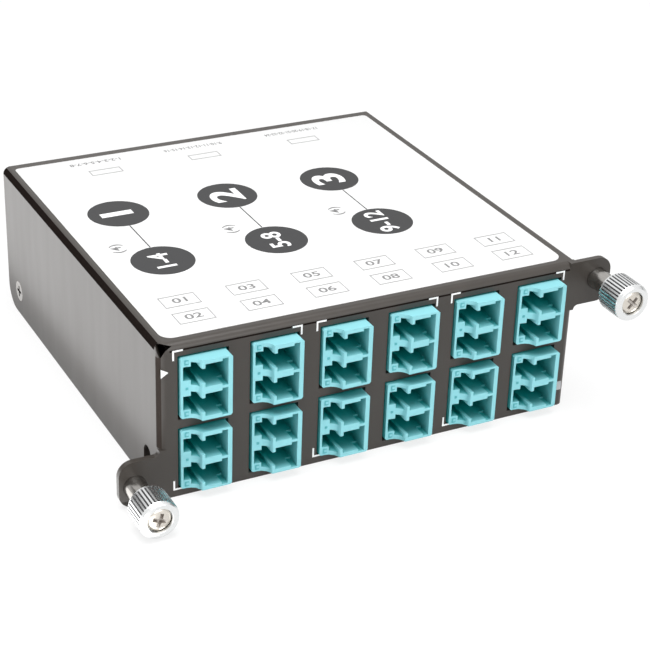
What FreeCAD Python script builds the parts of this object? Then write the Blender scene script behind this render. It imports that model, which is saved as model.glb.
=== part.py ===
"""Fibre breakout cassette: a folded steel box with twelve duplex ports in its front panel,
three multi-fibre ports in its rear wall, and two captive thumbscrews in its ears.

Millimetres. X runs along the front panel, +Y into the box, +Z up.
The origin is the middle of the box's underside.
"""

import FreeCAD, Part
import math
import os

import Sketcher

Vector = FreeCAD.Vector
Rotation = FreeCAD.Rotation
Placement = FreeCAD.Placement

SIZES = {
    "overcut": 1.0,
    # folded box
    "box_width": 91.4,
    "box_depth": 91.2,
    "box_height": 33.0,
    "sheet": 1.2,
    "bend_radius": 1.6,
    "rear_corner_radius": 5.0,
    "relief_size": 2.3,
    "corner_slit": 0.4,
    "notch_width": 3.6,
    "notch_height": 8.6,
    "notch_setback": 6.4,
    # ears
    "ear_reach": 8.3,
    "ear_height": 9.8,
    "ear_corner": 3.0,
    "ear_inner_corner": 1.0,
    # tray inside the box
    "tray_flange": 15.0,
    "tray_top_gap": 0.5,
    "tray_front_gap": 0.5,
    "tray_return": 4.0,
    # duplex adapters
    "column_edge": 4.075,
    "row_base": 1.75,
    "row_top": 2.95,
    "row_gap": 2.6,
    "adapter_width": 9.65,
    "adapter_front": 2.7,
    "adapter_length": 27.0,
    "adapter_corner": 0.35,
    "cutout_gap": 0.35,
    "shoulder_reach": 0.9,
    "shoulder_depth": 1.4,
    "bay_setback": 2.1,
    "scoop_radius": 2.5,
    "scoop_middle": 8.6,
    "port_edge": 0.9,
    "port_divider": 1.45,
    "port_side_wall": 0.9,
    "plug_channel": 4.65,
    "tooth_width": 0.75,
    "tooth_height": 0.86,
    "port_reach": 7.67,
    "slot_reach": 9.15,
    "slot_step": 0.95,
    "notch_rise": 0.45,
    "notch_run": 1.2,
    "notch_deep": 3.0,
    "port_web": 2.0,
    "holder_radius": 1.5,
    "holder_reach": 4.6,
    # ceramic alignment sleeves
    "ferrule_radius": 0.62,
    "sleeve_wall": 0.18,
    "sleeve_fit": 0.01,
    "sleeve_play": 0.07,
    "sleeve_length": 11.0,
    "sleeve_slit": 0.3,
    # inner bracket
    "bracket_sheet": 1.0,
    "bracket_return": 12.0,
    "bracket_gap": 0.45,
    # rear multi-fibre adapters and their inner plugs
    "rear_port_width": 12.8,
    "rear_port_height": 8.0,
    "rear_port_wall": 1.1,
    "rear_port_out": 4.0,
    "rear_port_in": 13.0,
    "rear_port_cavity": 7.6,
    "rear_port_web": 1.5,
    "rear_flange_width": 18.4,
    "rear_flange_height": 13.0,
    "rear_flange_depth": 1.0,
    "key_width": 2.6,
    "key_height": 0.6,
    "ribbon_ferrule_width": 6.4,
    "ribbon_ferrule_height": 2.5,
    "fit_gap": 0.1,
    "rear_plug_length": 16.0,
    "rear_boot_length": 9.0,
    "rear_boot_step": 1.1,
    "rear_boot_width": 5.2,
    "rear_boot_height": 4.6,
    # inner duplex plugs
    "plug_play": 0.15,
    "plug_depth": 9.2,
    "plug_stick_out": 2.0,
    "yoke_depth": 5.0,
    "latch_rise": 1.6,
    "latch_length": 4.0,
    "latch_width": 2.0,
    "boot_length": 7.0,
    "boot_side": 3.6,
    "boot_tip": 2.4,
    "leg_width": 1.2,
    "leg_thickness": 0.8,
    "leg_bend": 6.0,
    "leg_spacing": 1.5,
    # captive thumbscrews
    "screw_reach": 5.1,
    "screw_edge": 4.45,
    "retainer_radius": 2.35,
    "retainer_bore": 1.95,
    "retainer_length": 6.4,
    "knob_radius": 4.05,
    "knob_length": 6.7,
    "knob_overlap": 0.3,
    "knob_chamfer": 0.5,
    "knob_rim_step": 0.05,
    "knob_bore_play": 0.08,
    "knob_bore_depth": 4.3,
    "knob_recess_radius": 2.47,
    "knob_recess_depth": 1.2,
    "knurl_depth": 0.32,
    "knurl_width": 0.73,
    "screw_neck_radius": 1.15,
    "screw_play": 0.1,
    "screw_head_radius": 2.25,
    "screw_head_height": 1.05,
    "cross_width": 0.7,
    "cross_length": 2.9,
    "cross_depth": 0.7,
    "thread_radius": 1.5,
    "thread_gap": 0.1,
    "thread_length": 2.0,
    "spring_wire": 0.3,
    "spring_seat_gap": 0.05,
    "spring_radius": 1.55,
    # countersunk side screws
    "side_screw_back": 7.3,
    "side_screw_rise": 5.7,
    "side_head_radius": 2.4,
    "side_screw_radius": 1.25,
    "side_screw_length": 4.5,
    "side_cross_length": 2.6,
    "side_cross_width": 0.6,
    "side_cross_depth": 0.7,
    # label film
    "label_side": 1.9,
    "label_front": 2.5,
    "label_rear": 2.25,
    "label_film": 0.2,
    "label_front_radius": 2.5,
    "label_rear_radius": 1.0,
}

COLUMNS = 6
ROWS = 2
KNURLS = 36
SCOOP_SIDES = 16
SPRING_TURNS = 5
SPRING_RUNS = 8
LEG_CHORDS = 3

# Sizes that follow from the others, each after the ones it uses.
FOLLOWING = {
    "column_pitch": "(box_width - adapter_width - 2 * column_edge) / %d" % (COLUMNS - 1),
    "adapter_height": "(box_height - row_base - row_top - row_gap) / %d" % ROWS,
    "row_pitch": "adapter_height + row_gap",
    "port_height": "(adapter_height - port_divider - 2 * port_edge) / 2",
    "port_pitch": "port_height + port_divider",
    "plug_side": "port_height - 2 * plug_play",
    "plug_wide": "plug_channel - plug_play",
}

doc = FreeCAD.newDocument("cassette")
parts = {}


def fill_sheet():
    """Put every size in a cell of its own, with its name as alias."""
    sheet = doc.addObject("Spreadsheet::Sheet", "Sizes")
    cells = {name: str(value) for name, value in SIZES.items()}
    cells.update({name: "=" + formula for name, formula in FOLLOWING.items()})
    for row, (name, content) in enumerate(cells.items(), 1):
        sheet.set("A%d" % row, name)
        sheet.setAlias("B%d" % row, name)
        sheet.set("B%d" % row, content)
    doc.recompute()
    return sheet


sizes = fill_sheet()


def size(name):
    """A size, read from the sheet."""
    return float(getattr(sizes, name))


def named(text):
    """An expression on the sheet, from one that uses the bare names of its cells."""
    words = sorted([*SIZES, *FOLLOWING], key=len, reverse=True)
    out = ""
    place = 0
    while place < len(text):
        hit = next((w for w in words if text.startswith(w, place)), None)
        if hit:
            out += "Sizes." + hit
            place += len(hit)
        else:
            out += text[place]
            place += 1
    return out


def bind(item, prop, text):
    item.setExpression(prop, named(text))


# ---------------------------------------------------------------- PartDesign helpers

def new_body(name):
    body = doc.addObject("PartDesign::Body", name)
    body.Label = name
    return body


def origin_item(body, role):
    return next(item for item in body.Origin.OriginFeatures if item.Role == role)


def sketch_on(body, name, role, offset=("0", "0", "0")):
    """A sketch on one of the body's own planes, moved by an offset in the sketch's axes."""
    sketch = body.newObject("Sketcher::SketchObject", name)
    sketch.AttachmentSupport = [(origin_item(body, role), "")]
    sketch.MapMode = "FlatFace"
    for axis, text in zip("xyz", offset):
        if text != "0":
            bind(sketch, "AttachmentOffset.Base." + axis, text)
    return sketch


def name_last(sketch, label, text):
    number = sketch.ConstraintCount - 1
    sketch.renameConstraint(number, label)
    bind(sketch, "Constraints." + label, text)


def rectangle(sketch, width, height):
    """A rectangle centred on the sketch's origin."""
    corners = [Vector(-2, -1, 0), Vector(2, -1, 0), Vector(2, 1, 0), Vector(-2, 1, 0)]
    for here, there in zip(corners, corners[1:] + corners[:1]):
        sketch.addGeometry(Part.LineSegment(here, there))
    for side in range(4):
        sketch.addConstraint(Sketcher.Constraint("Coincident", side, 2, (side + 1) % 4, 1))
        direction = "Vertical" if side % 2 else "Horizontal"
        sketch.addConstraint(Sketcher.Constraint(direction, side))
    sketch.addConstraint(Sketcher.Constraint("Symmetric", 0, 1, 2, 1, -1, 1))
    sketch.addConstraint(Sketcher.Constraint("DistanceX", 0, 1, 0, 2, 4.0))
    name_last(sketch, "width", width)
    sketch.addConstraint(Sketcher.Constraint("DistanceY", 1, 1, 1, 2, 2.0))
    name_last(sketch, "height", height)


def circle(sketch, radius):
    """A circle centred on the sketch's origin."""
    sketch.addGeometry(Part.Circle(Vector(0, 0, 0), Vector(0, 0, 1), 1.0))
    sketch.addConstraint(Sketcher.Constraint("Coincident", 0, 3, -1, 1))
    sketch.addConstraint(Sketcher.Constraint("Radius", 0, 1.0))
    name_last(sketch, "radius", radius)


def pad(body, name, sketch, length, reverse=False):
    item = body.newObject("PartDesign::Pad", name)
    item.Profile = sketch
    bind(item, "Length", length)
    item.Reversed = reverse
    doc.recompute()
    return item


def pocket(body, name, sketch, length, reverse=False):
    """Cut a sketch out of the body, and stop if it removes nothing."""
    before = body.Shape.Volume
    item = body.newObject("PartDesign::Pocket", name)
    item.Profile = sketch
    bind(item, "Length", length)
    item.Reversed = reverse
    doc.recompute()
    if not body.Shape.Volume < before:
        raise RuntimeError(name + " cuts nothing")
    return item


def run_of(edge):
    """The direction of a straight edge, or None for a curved or closed one."""
    if len(edge.Vertexes) != 2:
        return None
    chord = edge.Vertexes[1].Point - edge.Vertexes[0].Point
    return chord.normalize() if near(chord.Length, edge.Length) else None


def edge_names(shape, wanted):
    """Names of the straight edges whose middle point and direction pass a test."""
    names = []
    for number, edge in enumerate(shape.Edges, 1):
        direction = run_of(edge)
        if direction and wanted((edge.Vertexes[0].Point + edge.Vertexes[1].Point) * 0.5, direction):
            names.append("Edge%d" % number)
    return names


def fillet(body, name, wanted, radius):
    base = body.Tip
    item = body.newObject("PartDesign::Fillet", name)
    item.Base = (base, edge_names(base.Shape, wanted))
    bind(item, "Radius", radius)
    doc.recompute()
    return item


def shell(body, name, open_faces):
    """Hollow the body to one sheet's thickness, leaving out the faces that pass a test."""
    base = body.Tip
    faces = [
        "Face%d" % number
        for number, face in enumerate(base.Shape.Faces, 1)
        if open_faces(face.CenterOfMass, face.normalAt(0, 0))
    ]
    item = body.newObject("PartDesign::Thickness", name)
    item.Base = (base, faces)
    item.Reversed = True
    item.Join = "Intersection"
    bind(item, "Value", "sheet")
    doc.recompute()
    return item


def repeat_along_x(body, name, originals, count, pitch):
    item = body.newObject("PartDesign::LinearPattern", name)
    item.Originals = originals
    item.Direction = (origin_item(body, "X_Axis"), [""])
    item.Occurrences = count
    bind(item, "Length", "%d * %s" % (count - 1, pitch))
    body.Tip = item
    doc.recompute()
    return item


def near(value, target):
    return abs(value - target) < 1e-3


# ---------------------------------------------------------------- Part helpers

def place(item, corner):
    for axis, text in zip("xyz", corner):
        bind(item, "Placement.Base." + axis, text)


def block(name, corner, sides):
    """A box from its low corner and its three sides."""
    item = doc.addObject("Part::Box", name)
    for prop, text in zip(("Length", "Width", "Height"), sides):
        bind(item, prop, text)
    place(item, corner)
    return item


def prism(name, start, radius, length):
    """A six-sided rod from a start point, running along +Y."""
    item = doc.addObject("Part::Prism", name)
    item.Polygon = 6
    bind(item, "Circumradius", radius)
    bind(item, "Height", length)
    item.Placement.Rotation = Rotation(Vector(1, 0, 0), -90)
    place(item, start)
    return item


def tapered(name, start, near_sides, far_sides, length, turn=0):
    """A block along +Y whose far end differs from its near end, both centred on its axis."""
    item = doc.addObject("Part::Wedge", name)
    for (low, high), text in {
        ("Xmin", "Xmax"): near_sides[0], ("Zmin", "Zmax"): near_sides[1],
        ("X2min", "X2max"): far_sides[0], ("Z2min", "Z2max"): far_sides[1],
    }.items():
        bind(item, low, "-(%s) / 2" % text)
        bind(item, high, "(%s) / 2" % text)
    item.Ymin = 0
    bind(item, "Ymax", length)
    item.Placement.Rotation = Rotation(Vector(0, 0, 1), turn)
    place(item, start)
    return item


def fuse(name, items):
    item = doc.addObject("Part::MultiFuse", name)
    item.Shapes = items
    item.Refine = True
    return item


def cut(name, base, tools):
    item = doc.addObject("Part::Cut", name)
    item.Base = base
    item.Tool = tools[0] if len(tools) == 1 else fuse(name + "_tools", tools)
    item.Refine = True
    return item


def copy_at(name, sources, corner):
    """A piece, or a group of them, set at its place in the cassette."""
    item = doc.addObject("Part::Compound", name)
    item.Label = name
    item.Links = sources
    place(item, corner)
    parts[name] = item
    return item


# ---------------------------------------------------------------- folded box

def column_place(column):
    """Middle of a column of adapters along X."""
    return "%.1f * column_pitch" % (column - (COLUMNS - 1) / 2)


def panel_windows(body, name, front, depth, clearance):
    """The windows for the adapters, in a plate parallel to the front panel."""
    rows = []
    for row in range(ROWS):
        middle = "row_base + %d * row_pitch + adapter_height / 2" % row
        window = sketch_on(body, "%s_window_%d" % (name, row), "XZ_Plane",
                           (column_place(0), middle, front))
        rectangle(window, "adapter_width + 2 * (%s)" % clearance, "adapter_height + 2 * (%s)" % clearance)
        rows.append(pocket(body, "%s_row_%d" % (name, row), window, depth))
    repeat_along_x(body, name + "_windows", rows, COLUMNS, "column_pitch")


def ear(body, side):
    """One ear in the plane of the front panel: low at the left, high at the right."""
    name = "right_ear" if side > 0 else "left_ear"
    rise = "box_height - ear_height / 2" if side > 0 else "ear_height / 2"
    overlap = "bend_radius"
    outline = sketch_on(body, name + "_outline", "XZ_Plane",
                        ("%d * (box_width / 2 + (ear_reach - %s) / 2)" % (side, overlap), rise, "box_depth / 2"))
    rectangle(outline, "ear_reach + " + overlap, "ear_height")
    pad(body, name, outline, "sheet", reverse=True)
    ear_root(body, side, name)
    tip = side * (size("box_width") / 2 + size("ear_reach"))
    fillet(body, name + "_corners", lambda m, d: near(m.x, tip) and near(abs(d.y), 1), "ear_corner")


def ear_root(body, side, name):
    """Fill the fold behind an ear's root, and round the inner corner where the ear leaves the panel."""
    wall = "%d * box_width / 2" % side
    above = "box_height - ear_height - ear_inner_corner" if side > 0 else "ear_height + ear_inner_corner"
    tall = "ear_height + ear_inner_corner"
    middle = "box_height - (%s) / 2" % tall if side > 0 else "(%s) / 2" % tall
    root = sketch_on(body, name + "_root_outline", "XZ_Plane",
                     ("%s - %d * bend_radius / 2" % (wall, side), middle, "box_depth / 2"))
    rectangle(root, "bend_radius", tall)
    pad(body, name + "_root", root, "bend_radius", reverse=True)
    web = sketch_on(body, name + "_web_outline", "XZ_Plane",
                    ("%s + %d * (ear_inner_corner - bend_radius) / 2" % (wall, side), middle, "box_depth / 2"))
    rectangle(web, "ear_inner_corner + bend_radius", tall)
    pad(body, name + "_web", web, "sheet", reverse=True)
    hollow = sketch_on(body, name + "_hollow_outline", "XZ_Plane",
                       ("%s + %d * ear_inner_corner" % (wall, side), above, "box_depth / 2 + overcut"))
    circle(hollow, "ear_inner_corner")
    pocket(body, name + "_inner_corner", hollow, "sheet + 2 * overcut")


def ear_hole(body, side):
    name = "right" if side > 0 else "left"
    hole = sketch_on(body, name + "_ear_hole", "XZ_Plane",
                     screw_place(side)[:1] + (screw_place(side)[2], "box_depth / 2 + overcut"))
    circle(hole, "retainer_radius")
    pocket(body, name + "_ear_bore", hole, "sheet + 2 * overcut")


def screw_place(side):
    """Where a thumbscrew's axis passes the front panel's outer face."""
    rise = "box_height - screw_edge" if side > 0 else "screw_edge"
    return ("%d * (box_width / 2 + screw_reach)" % side, "-box_depth / 2", rise)


def side_holes(body, face, radius, depth, name):
    """A hole through both sides at the side screws."""
    place_in_sketch = ("box_depth / 2 - side_screw_back", "side_screw_rise")
    for side in (-1, 1):
        hole = sketch_on(body, "%s_%d" % (name, side + 1), "YZ_Plane",
                         place_in_sketch + ("%d * (%s)" % (side, face),))
        circle(hole, radius)
        pocket(body, "%s_bore_%d" % (name, side + 1), hole, depth, reverse=side < 0)


def countersinks(body):
    """A chamfer round each side screw's hole, wide enough for its head."""
    base = body.Tip
    wall = size("box_width") / 2
    rims = []
    around = 2 * math.pi * (size("side_screw_radius") + size("fit_gap"))
    for number, edge in enumerate(base.Shape.Edges, 1):
        if near(edge.Length, around) and near(abs(edge.CenterOfMass.x), wall):
            rims.append("Edge%d" % number)
    item = body.newObject("PartDesign::Chamfer", "countersinks")
    item.Base = (base, rims)
    bind(item, "Size", "side_head_radius - side_screw_radius - fit_gap")
    doc.recompute()


def corner_relief():
    """The three-cornered hole left where the top, front and left folds meet."""
    reach = size("relief_size")
    corner = Vector(-size("box_width") / 2, -size("box_depth") / 2, size("box_height"))
    inward = Vector(1, 1, -1)
    points = [
        corner + Vector(reach, 0, 0),
        corner + Vector(0, reach, 0),
        corner + Vector(0, 0, -reach),
    ]
    start = [point - inward * reach for point in points]
    face = Part.Face(Part.makePolygon(start + start[:1]))
    return face.extrude(inward * (2 * reach))


def make_cover():
    """Top, front panel with its ears, and both sides, folded from one sheet."""
    body = new_body("cover_folded")
    outline = sketch_on(body, "cover_outline", "XY_Plane")
    rectangle(outline, "box_width", "box_depth")
    pad(body, "cover_block", outline, "box_height")
    half, front, top = size("box_width") / 2, -size("box_depth") / 2, size("box_height")

    def on_fold(middle, direction):
        upper = near(middle.z, top) and not near(middle.y, -front)
        upright = near(abs(direction.z), 1) and near(middle.y, front)
        return upper or upright

    fillet(body, "cover_bends", on_fold, "bend_radius")
    shell(body, "cover_shell", lambda m, n: near(m.z, 0) or near(m.y, -front))
    fillet(body, "rear_corners",
           lambda m, d: near(m.z, 0) and near(m.y, -front) and near(abs(d.x), 1), "rear_corner_radius")
    for side in (-1, 1):
        ear(body, side)
        ear_hole(body, side)
    panel_windows(body, "panel", "box_depth / 2 + overcut", "sheet + 2 * overcut", "cutout_gap")
    side_holes(body, "box_width / 2 + overcut", "side_screw_radius + fit_gap",
               "sheet + 2 * overcut", "cover_screw")
    countersinks(body)
    fold_notch(body)
    relief = doc.addObject("Part::Feature", "corner_relief")
    relief.Shape = corner_relief()
    cover = cut("cover", body, [relief])
    cover.Label = "cover"
    parts["cover"] = cover


def fold_notch(body):
    """The round-topped notch that frees the left side's fold behind the ear."""
    across = "-box_depth / 2 + notch_setback"
    face = "-box_width / 2 - overcut"
    slot = sketch_on(body, "notch_slot", "YZ_Plane", (across, "(notch_height - notch_width / 2) / 2", face))
    rectangle(slot, "notch_width", "notch_height - notch_width / 2")
    pocket(body, "notch_cut", slot, "sheet + 2 * overcut", reverse=True)
    arch = sketch_on(body, "notch_arch", "YZ_Plane", (across, "notch_height - notch_width / 2", face))
    circle(arch, "notch_width / 2")
    pocket(body, "notch_top", arch, "sheet + 2 * overcut", reverse=True)


def make_tray():
    """Bottom, rear wall and low side flanges, folded from one sheet."""
    body = new_body("base_tray")
    outline = sketch_on(body, "tray_outline", "XY_Plane", ("0", "(sheet + tray_front_gap) / 2", "0"))
    rectangle(outline, "box_width - 2 * sheet", "box_depth - sheet - tray_front_gap")
    pad(body, "tray_block", outline, "box_height - sheet - tray_top_gap")
    rear = size("box_depth") / 2
    front = size("sheet") + size("tray_front_gap") - rear

    def on_fold(middle, direction):
        lower = near(middle.z, 0) and not near(middle.y, front)
        upright = near(abs(direction.z), 1) and near(middle.y, rear)
        return lower or upright

    fillet(body, "tray_bends", on_fold, "bend_radius")
    shell(body, "tray_shell",
          lambda m, n: near(m.y, front) or near(m.z, size("box_height") - size("sheet") - size("tray_top_gap")))
    lowered = sketch_on(body, "flange_line", "XZ_Plane",
                        ("0", "(tray_flange + box_height) / 2", "box_depth / 2"))
    rectangle(lowered, "box_width", "box_height - tray_flange")
    pocket(body, "lowered_flanges", lowered, "box_depth - tray_return")
    part_corners(body)
    opening = sketch_on(body, "rear_window", "XZ_Plane",
                        ("-2 * column_pitch", "box_height / 2", "-box_depth / 2 + sheet + overcut"))
    rectangle(opening, "rear_port_width + 2 * (rear_port_wall + fit_gap)",
              "rear_port_height + 2 * (rear_port_wall + fit_gap)")
    first = pocket(body, "rear_opening", opening, "sheet + 2 * overcut")
    repeat_along_x(body, "rear_openings", [first], COLUMNS // 2, "2 * column_pitch")
    side_holes(body, "box_width / 2 - sheet + overcut", "side_screw_radius",
               "sheet + 2 * overcut", "tray_screw")
    parts["base_tray"] = body


def part_corners(body):
    """Part the rear wall's return from each side flange with a slit, and relieve the folds below it."""
    for side in (-1, 1):
        edge = "%d * (box_width / 2 - sheet" % side
        slit = sketch_on(body, "slit_%d" % (side + 1), "XY_Plane",
                         (edge + " - relief_size / 2)", "box_depth / 2 - tray_return - corner_slit / 2", "-overcut"))
        rectangle(slit, "relief_size", "corner_slit")
        pocket(body, "parted_%d" % (side + 1), slit, "box_height + 2 * overcut", reverse=True)
        relief = sketch_on(body, "relief_%d" % (side + 1), "XY_Plane", (edge + ")", "box_depth / 2", "-overcut"))
        rectangle(relief, "2 * relief_size", "2 * (tray_return + corner_slit)")
        pocket(body, "relieved_%d" % (side + 1), relief, "overcut + relief_size", reverse=True)


def make_bracket():
    """The upright plate behind the adapters' shoulders, with an end turned back at each side."""
    body = new_body("adapter_bracket")
    front = "-box_depth / 2 + sheet + shoulder_depth"
    outline = sketch_on(body, "bracket_outline", "XY_Plane",
                        ("0", front + " + bracket_return / 2", "sheet + bracket_gap"))
    rectangle(outline, "box_width - 4 * sheet", "bracket_return")
    pad(body, "bracket_block", outline, "box_height - 2 * sheet - tray_top_gap - bracket_gap")
    hollow = sketch_on(body, "bracket_hollow", "XY_Plane",
                       ("0", front + " + bracket_sheet + bracket_return / 2", "0"))
    rectangle(hollow, "box_width - 4 * sheet - 2 * bracket_sheet", "bracket_return")
    pocket(body, "bracket_fold", hollow, "box_height", reverse=True)
    panel_windows(body, "bracket", "box_depth / 2 - sheet - shoulder_depth + overcut",
                  "bracket_sheet + 2 * overcut", "fit_gap")
    parts["adapter_bracket"] = body


def make_label():
    """The printed film on the top."""
    body = new_body("top_label")
    outline = sketch_on(body, "label_outline", "XY_Plane",
                        ("0", "(label_front - label_rear) / 2", "box_height"))
    rectangle(outline, "box_width - 2 * label_side", "box_depth - label_front - label_rear")
    pad(body, "label_film_sheet", outline, "label_film")
    middle = (size("label_front") - size("label_rear")) / 2
    upright = lambda d: near(abs(d.z), 1)
    fillet(body, "label_front_corners", lambda m, d: upright(d) and m.y < middle, "label_front_radius")
    fillet(body, "label_rear_corners",
           lambda m, d: upright(d) and m.y > size("box_depth") / 2 - 2 * size("label_rear"), "label_rear_radius")
    parts["top_label"] = body


# ---------------------------------------------------------------- duplex adapters

ADAPTER_RIGHT = "adapter_width / 2"
PORT_FLOOR = "(adapter_height - port_pitch - port_height) / 2"
PORT_AXIS_X = ADAPTER_RIGHT + " - port_side_wall - plug_channel / 2"


def port_level(port):
    """Floor of a port above the adapter's underside."""
    return PORT_FLOOR + " + %d * port_pitch" % port


def port_axis_z(port):
    return port_level(port) + " + port_height / 2"


def port_depth():
    return "(adapter_length - port_web) / 2"


def port_void(port, rear):
    """The hollow of one port, open to the front or to the rear, with its slot and keyed corners."""
    end = "rear" if rear else "front"
    name = "port_%d_%s" % (port, end)
    start = "-adapter_front + (adapter_length + port_web) / 2" if rear else "-adapter_front - overcut"
    deep = port_depth() + " + overcut"
    floor = port_level(port)
    inner_wall = ADAPTER_RIGHT + " - port_side_wall"
    channel = block(name + "_channel", (ADAPTER_RIGHT + " - port_reach", start, floor),
                    ("port_reach - port_side_wall", deep, "port_height"))
    if rear:
        return channel
    slot = block(name + "_slot", (ADAPTER_RIGHT + " - slot_reach", start, floor + " + slot_step"),
                 ("slot_reach - port_side_wall", deep, "port_height - 2 * slot_step"))
    notch = block(name + "_notch",
                  (inner_wall + " - notch_run", "-adapter_front - overcut", floor + " - notch_rise"),
                  ("notch_run", "notch_deep + overcut", "port_height + 2 * notch_rise"))
    return fuse(name, [channel, slot, notch])


def port_teeth(port):
    """The two rails that part the plug's channel from its latch's."""
    left = ADAPTER_RIGHT + " - port_side_wall - plug_channel - tooth_width"
    floor = port_level(port)
    front = "-adapter_front"
    sides = ("tooth_width", port_depth(), "tooth_height")
    low = block("tooth_low_%d" % port, (left, front, floor), sides)
    high = block("tooth_high_%d" % port, (left, front, floor + " + port_height - tooth_height"), sides)
    return [low, high]


def make_adapter():
    """One moulded duplex adapter: its own frame has Y = 0 at the panel and Z = 0 at its underside."""
    shape = block("adapter_shape", ("-adapter_width / 2", "-adapter_front", "0"),
                  ("adapter_width", "adapter_length", "adapter_height"))
    shoulder = block("adapter_shoulder", ("-adapter_width / 2 - shoulder_reach", "sheet", "0"),
                     ("adapter_width + 2 * shoulder_reach", "shoulder_depth", "adapter_height"))
    outer = fuse("adapter_outer", [shape, shoulder])
    hollow = cut("adapter_hollow", outer, [port_void(port, rear) for port in (0, 1) for rear in (False, True)])
    rails = [tooth for port in (0, 1) for tooth in port_teeth(port)]
    middle = "-adapter_front + adapter_length / 2 - port_web / 2 - holder_reach"
    holders = [
        prism("sleeve_holder_%d" % port, (PORT_AXIS_X, middle, port_axis_z(port)),
              "holder_radius", "port_web + 2 * holder_reach")
        for port in (0, 1)
    ]
    filled = fuse("adapter_filled", [hollow] + rails + holders)
    bores = [
        prism("sleeve_bore_%d" % port, (PORT_AXIS_X, middle + " - overcut", port_axis_z(port)),
              "ferrule_radius + sleeve_wall + sleeve_play", "port_web + 2 * holder_reach + 2 * overcut")
        for port in (0, 1)
    ]
    flat = "bay_setback - adapter_front"
    bay = block("bay", ("-adapter_width / 2 - overcut", "-adapter_front - overcut", "-overcut"),
                ("adapter_width + overcut - scoop_middle", "bay_setback + overcut", "adapter_height + 2 * overcut"))
    scoop = doc.addObject("Part::Prism", "scoop")
    scoop.Polygon = SCOOP_SIDES
    bind(scoop, "Circumradius", "scoop_radius")
    bind(scoop, "Height", "adapter_height + 2 * overcut")
    place(scoop, (ADAPTER_RIGHT + " - scoop_middle", flat + " - scoop_radius", "-overcut"))
    bare = cut("adapter_bare", filled, bores + [bay, scoop])
    doc.recompute()
    rounded = doc.addObject("Part::Chamfer", "duplex_adapter")
    rounded.Base = bare
    rounded.Edges = [
        (number, size("adapter_corner"), size("adapter_corner"))
        for number, edge in enumerate(bare.Shape.Edges, 1)
        if outer_front_edge(edge)
    ]
    return rounded


def outer_front_edge(edge):
    """Long edges along Y at the adapter's four outer corners, in front of its shoulder."""
    direction = run_of(edge)
    if not direction or not near(abs(direction.y), 1):
        return False
    middle = (edge.Vertexes[0].Point + edge.Vertexes[1].Point) * 0.5
    at_side = near(abs(middle.x), size("adapter_width") / 2)
    at_level = near(middle.z, 0) or near(middle.z, size("adapter_height"))
    return at_side and at_level and middle.y < size("sheet")


def make_sleeve():
    """A split ceramic sleeve along Y, centred on its own origin."""
    start = "-sleeve_length / 2"
    outer = prism("sleeve_outer", ("0", start, "0"), "ferrule_radius + sleeve_wall", "sleeve_length")
    bore = prism("sleeve_inner", ("0", start + " - overcut", "0"), "ferrule_radius + sleeve_fit",
                 "sleeve_length + 2 * overcut")
    slit = block("sleeve_slit_tool", ("-sleeve_slit / 2", start + " - overcut", "0"),
                 ("sleeve_slit", "sleeve_length + 2 * overcut", "ferrule_radius + sleeve_wall + overcut"))
    return cut("split_sleeve", outer, [bore, slit])


def adapter_places():
    """Number, column and row of each adapter, along the lower row and then the upper one."""
    for row in range(ROWS):
        for column in range(COLUMNS):
            yield row * COLUMNS + column + 1, column, row


def place_adapters():
    adapter = make_adapter()
    sleeve = make_sleeve()
    pair = []
    for port in (0, 1):
        item = doc.addObject("Part::Compound", "sleeve_in_port_%d" % port)
        item.Links = [sleeve]
        place(item, (PORT_AXIS_X, "-adapter_front + adapter_length / 2", port_axis_z(port)))
        pair.append(item)
    for number, column, row in adapter_places():
        corner = (column_place(column), "-box_depth / 2", "row_base + %d * row_pitch" % row)
        copy_at("adapter_%02d" % number, [adapter], corner)
        copy_at("sleeve_pair_%02d" % number, pair, corner)


# ---------------------------------------------------------------- inner plugs and fibre legs

PLUG_TIP = "-adapter_front + (adapter_length + port_web) / 2 + plug_stick_out"
YOKE_FRONT = "-adapter_front + adapter_length + plug_stick_out"
BOOT_END = YOKE_FRONT + " + yoke_depth + boot_length"


def make_duplex_plug():
    """Two plugs with their ferrules, a yoke behind them and one boot, in the adapter's frame."""
    solids = []
    bores = []
    tip = "-adapter_front + adapter_length / 2 + fit_gap"
    face = "-adapter_front + (adapter_length + port_web) / 2 + fit_gap"
    for port in (0, 1):
        corner = (PORT_AXIS_X + " - plug_wide / 2", face, port_axis_z(port) + " - plug_side / 2")
        length = "(adapter_length - port_web) / 2 + plug_stick_out - fit_gap"
        solids.append(block("plug_%d" % port, corner, ("plug_wide", length, "plug_side")))
        low = (PORT_AXIS_X + " - holder_radius - fit_gap", face + " - overcut",
               port_axis_z(port) + " - holder_radius - fit_gap")
        bores.append(block("plug_bore_%d" % port, low,
                           ("2 * (holder_radius + fit_gap)", "holder_reach + fit_gap + overcut",
                            "2 * (holder_radius + fit_gap)")))
    bodies = cut("plug_bodies", fuse("plug_blocks", solids), bores)
    ferrules = [
        prism("ferrule_%d" % port, (PORT_AXIS_X, tip, port_axis_z(port)), "ferrule_radius",
              "port_web / 2 + holder_reach + overcut")
        for port in (0, 1)
    ]
    yoke = block("yoke", (PORT_AXIS_X + " - plug_wide / 2", YOKE_FRONT, port_axis_z(0) + " - plug_side / 2"),
                 ("plug_wide", "yoke_depth", "port_pitch + plug_side"))
    boot = tapered("boot", (PORT_AXIS_X, YOKE_FRONT + " + yoke_depth", "adapter_height / 2"),
                   ("boot_side", "boot_side"), ("boot_tip", "boot_tip"), "boot_length")
    latches = [
        block("latch_%d" % port,
              (PORT_AXIS_X + " - plug_wide / 2 - latch_rise", YOKE_FRONT + " - latch_length",
               port_axis_z(port) + " - latch_width / 2"),
              ("latch_rise", "latch_length + yoke_depth / 3", "latch_width"))
        for port in (0, 1)
    ]
    return fuse("duplex_plug", [bodies, yoke, boot] + ferrules + latches)


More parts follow.
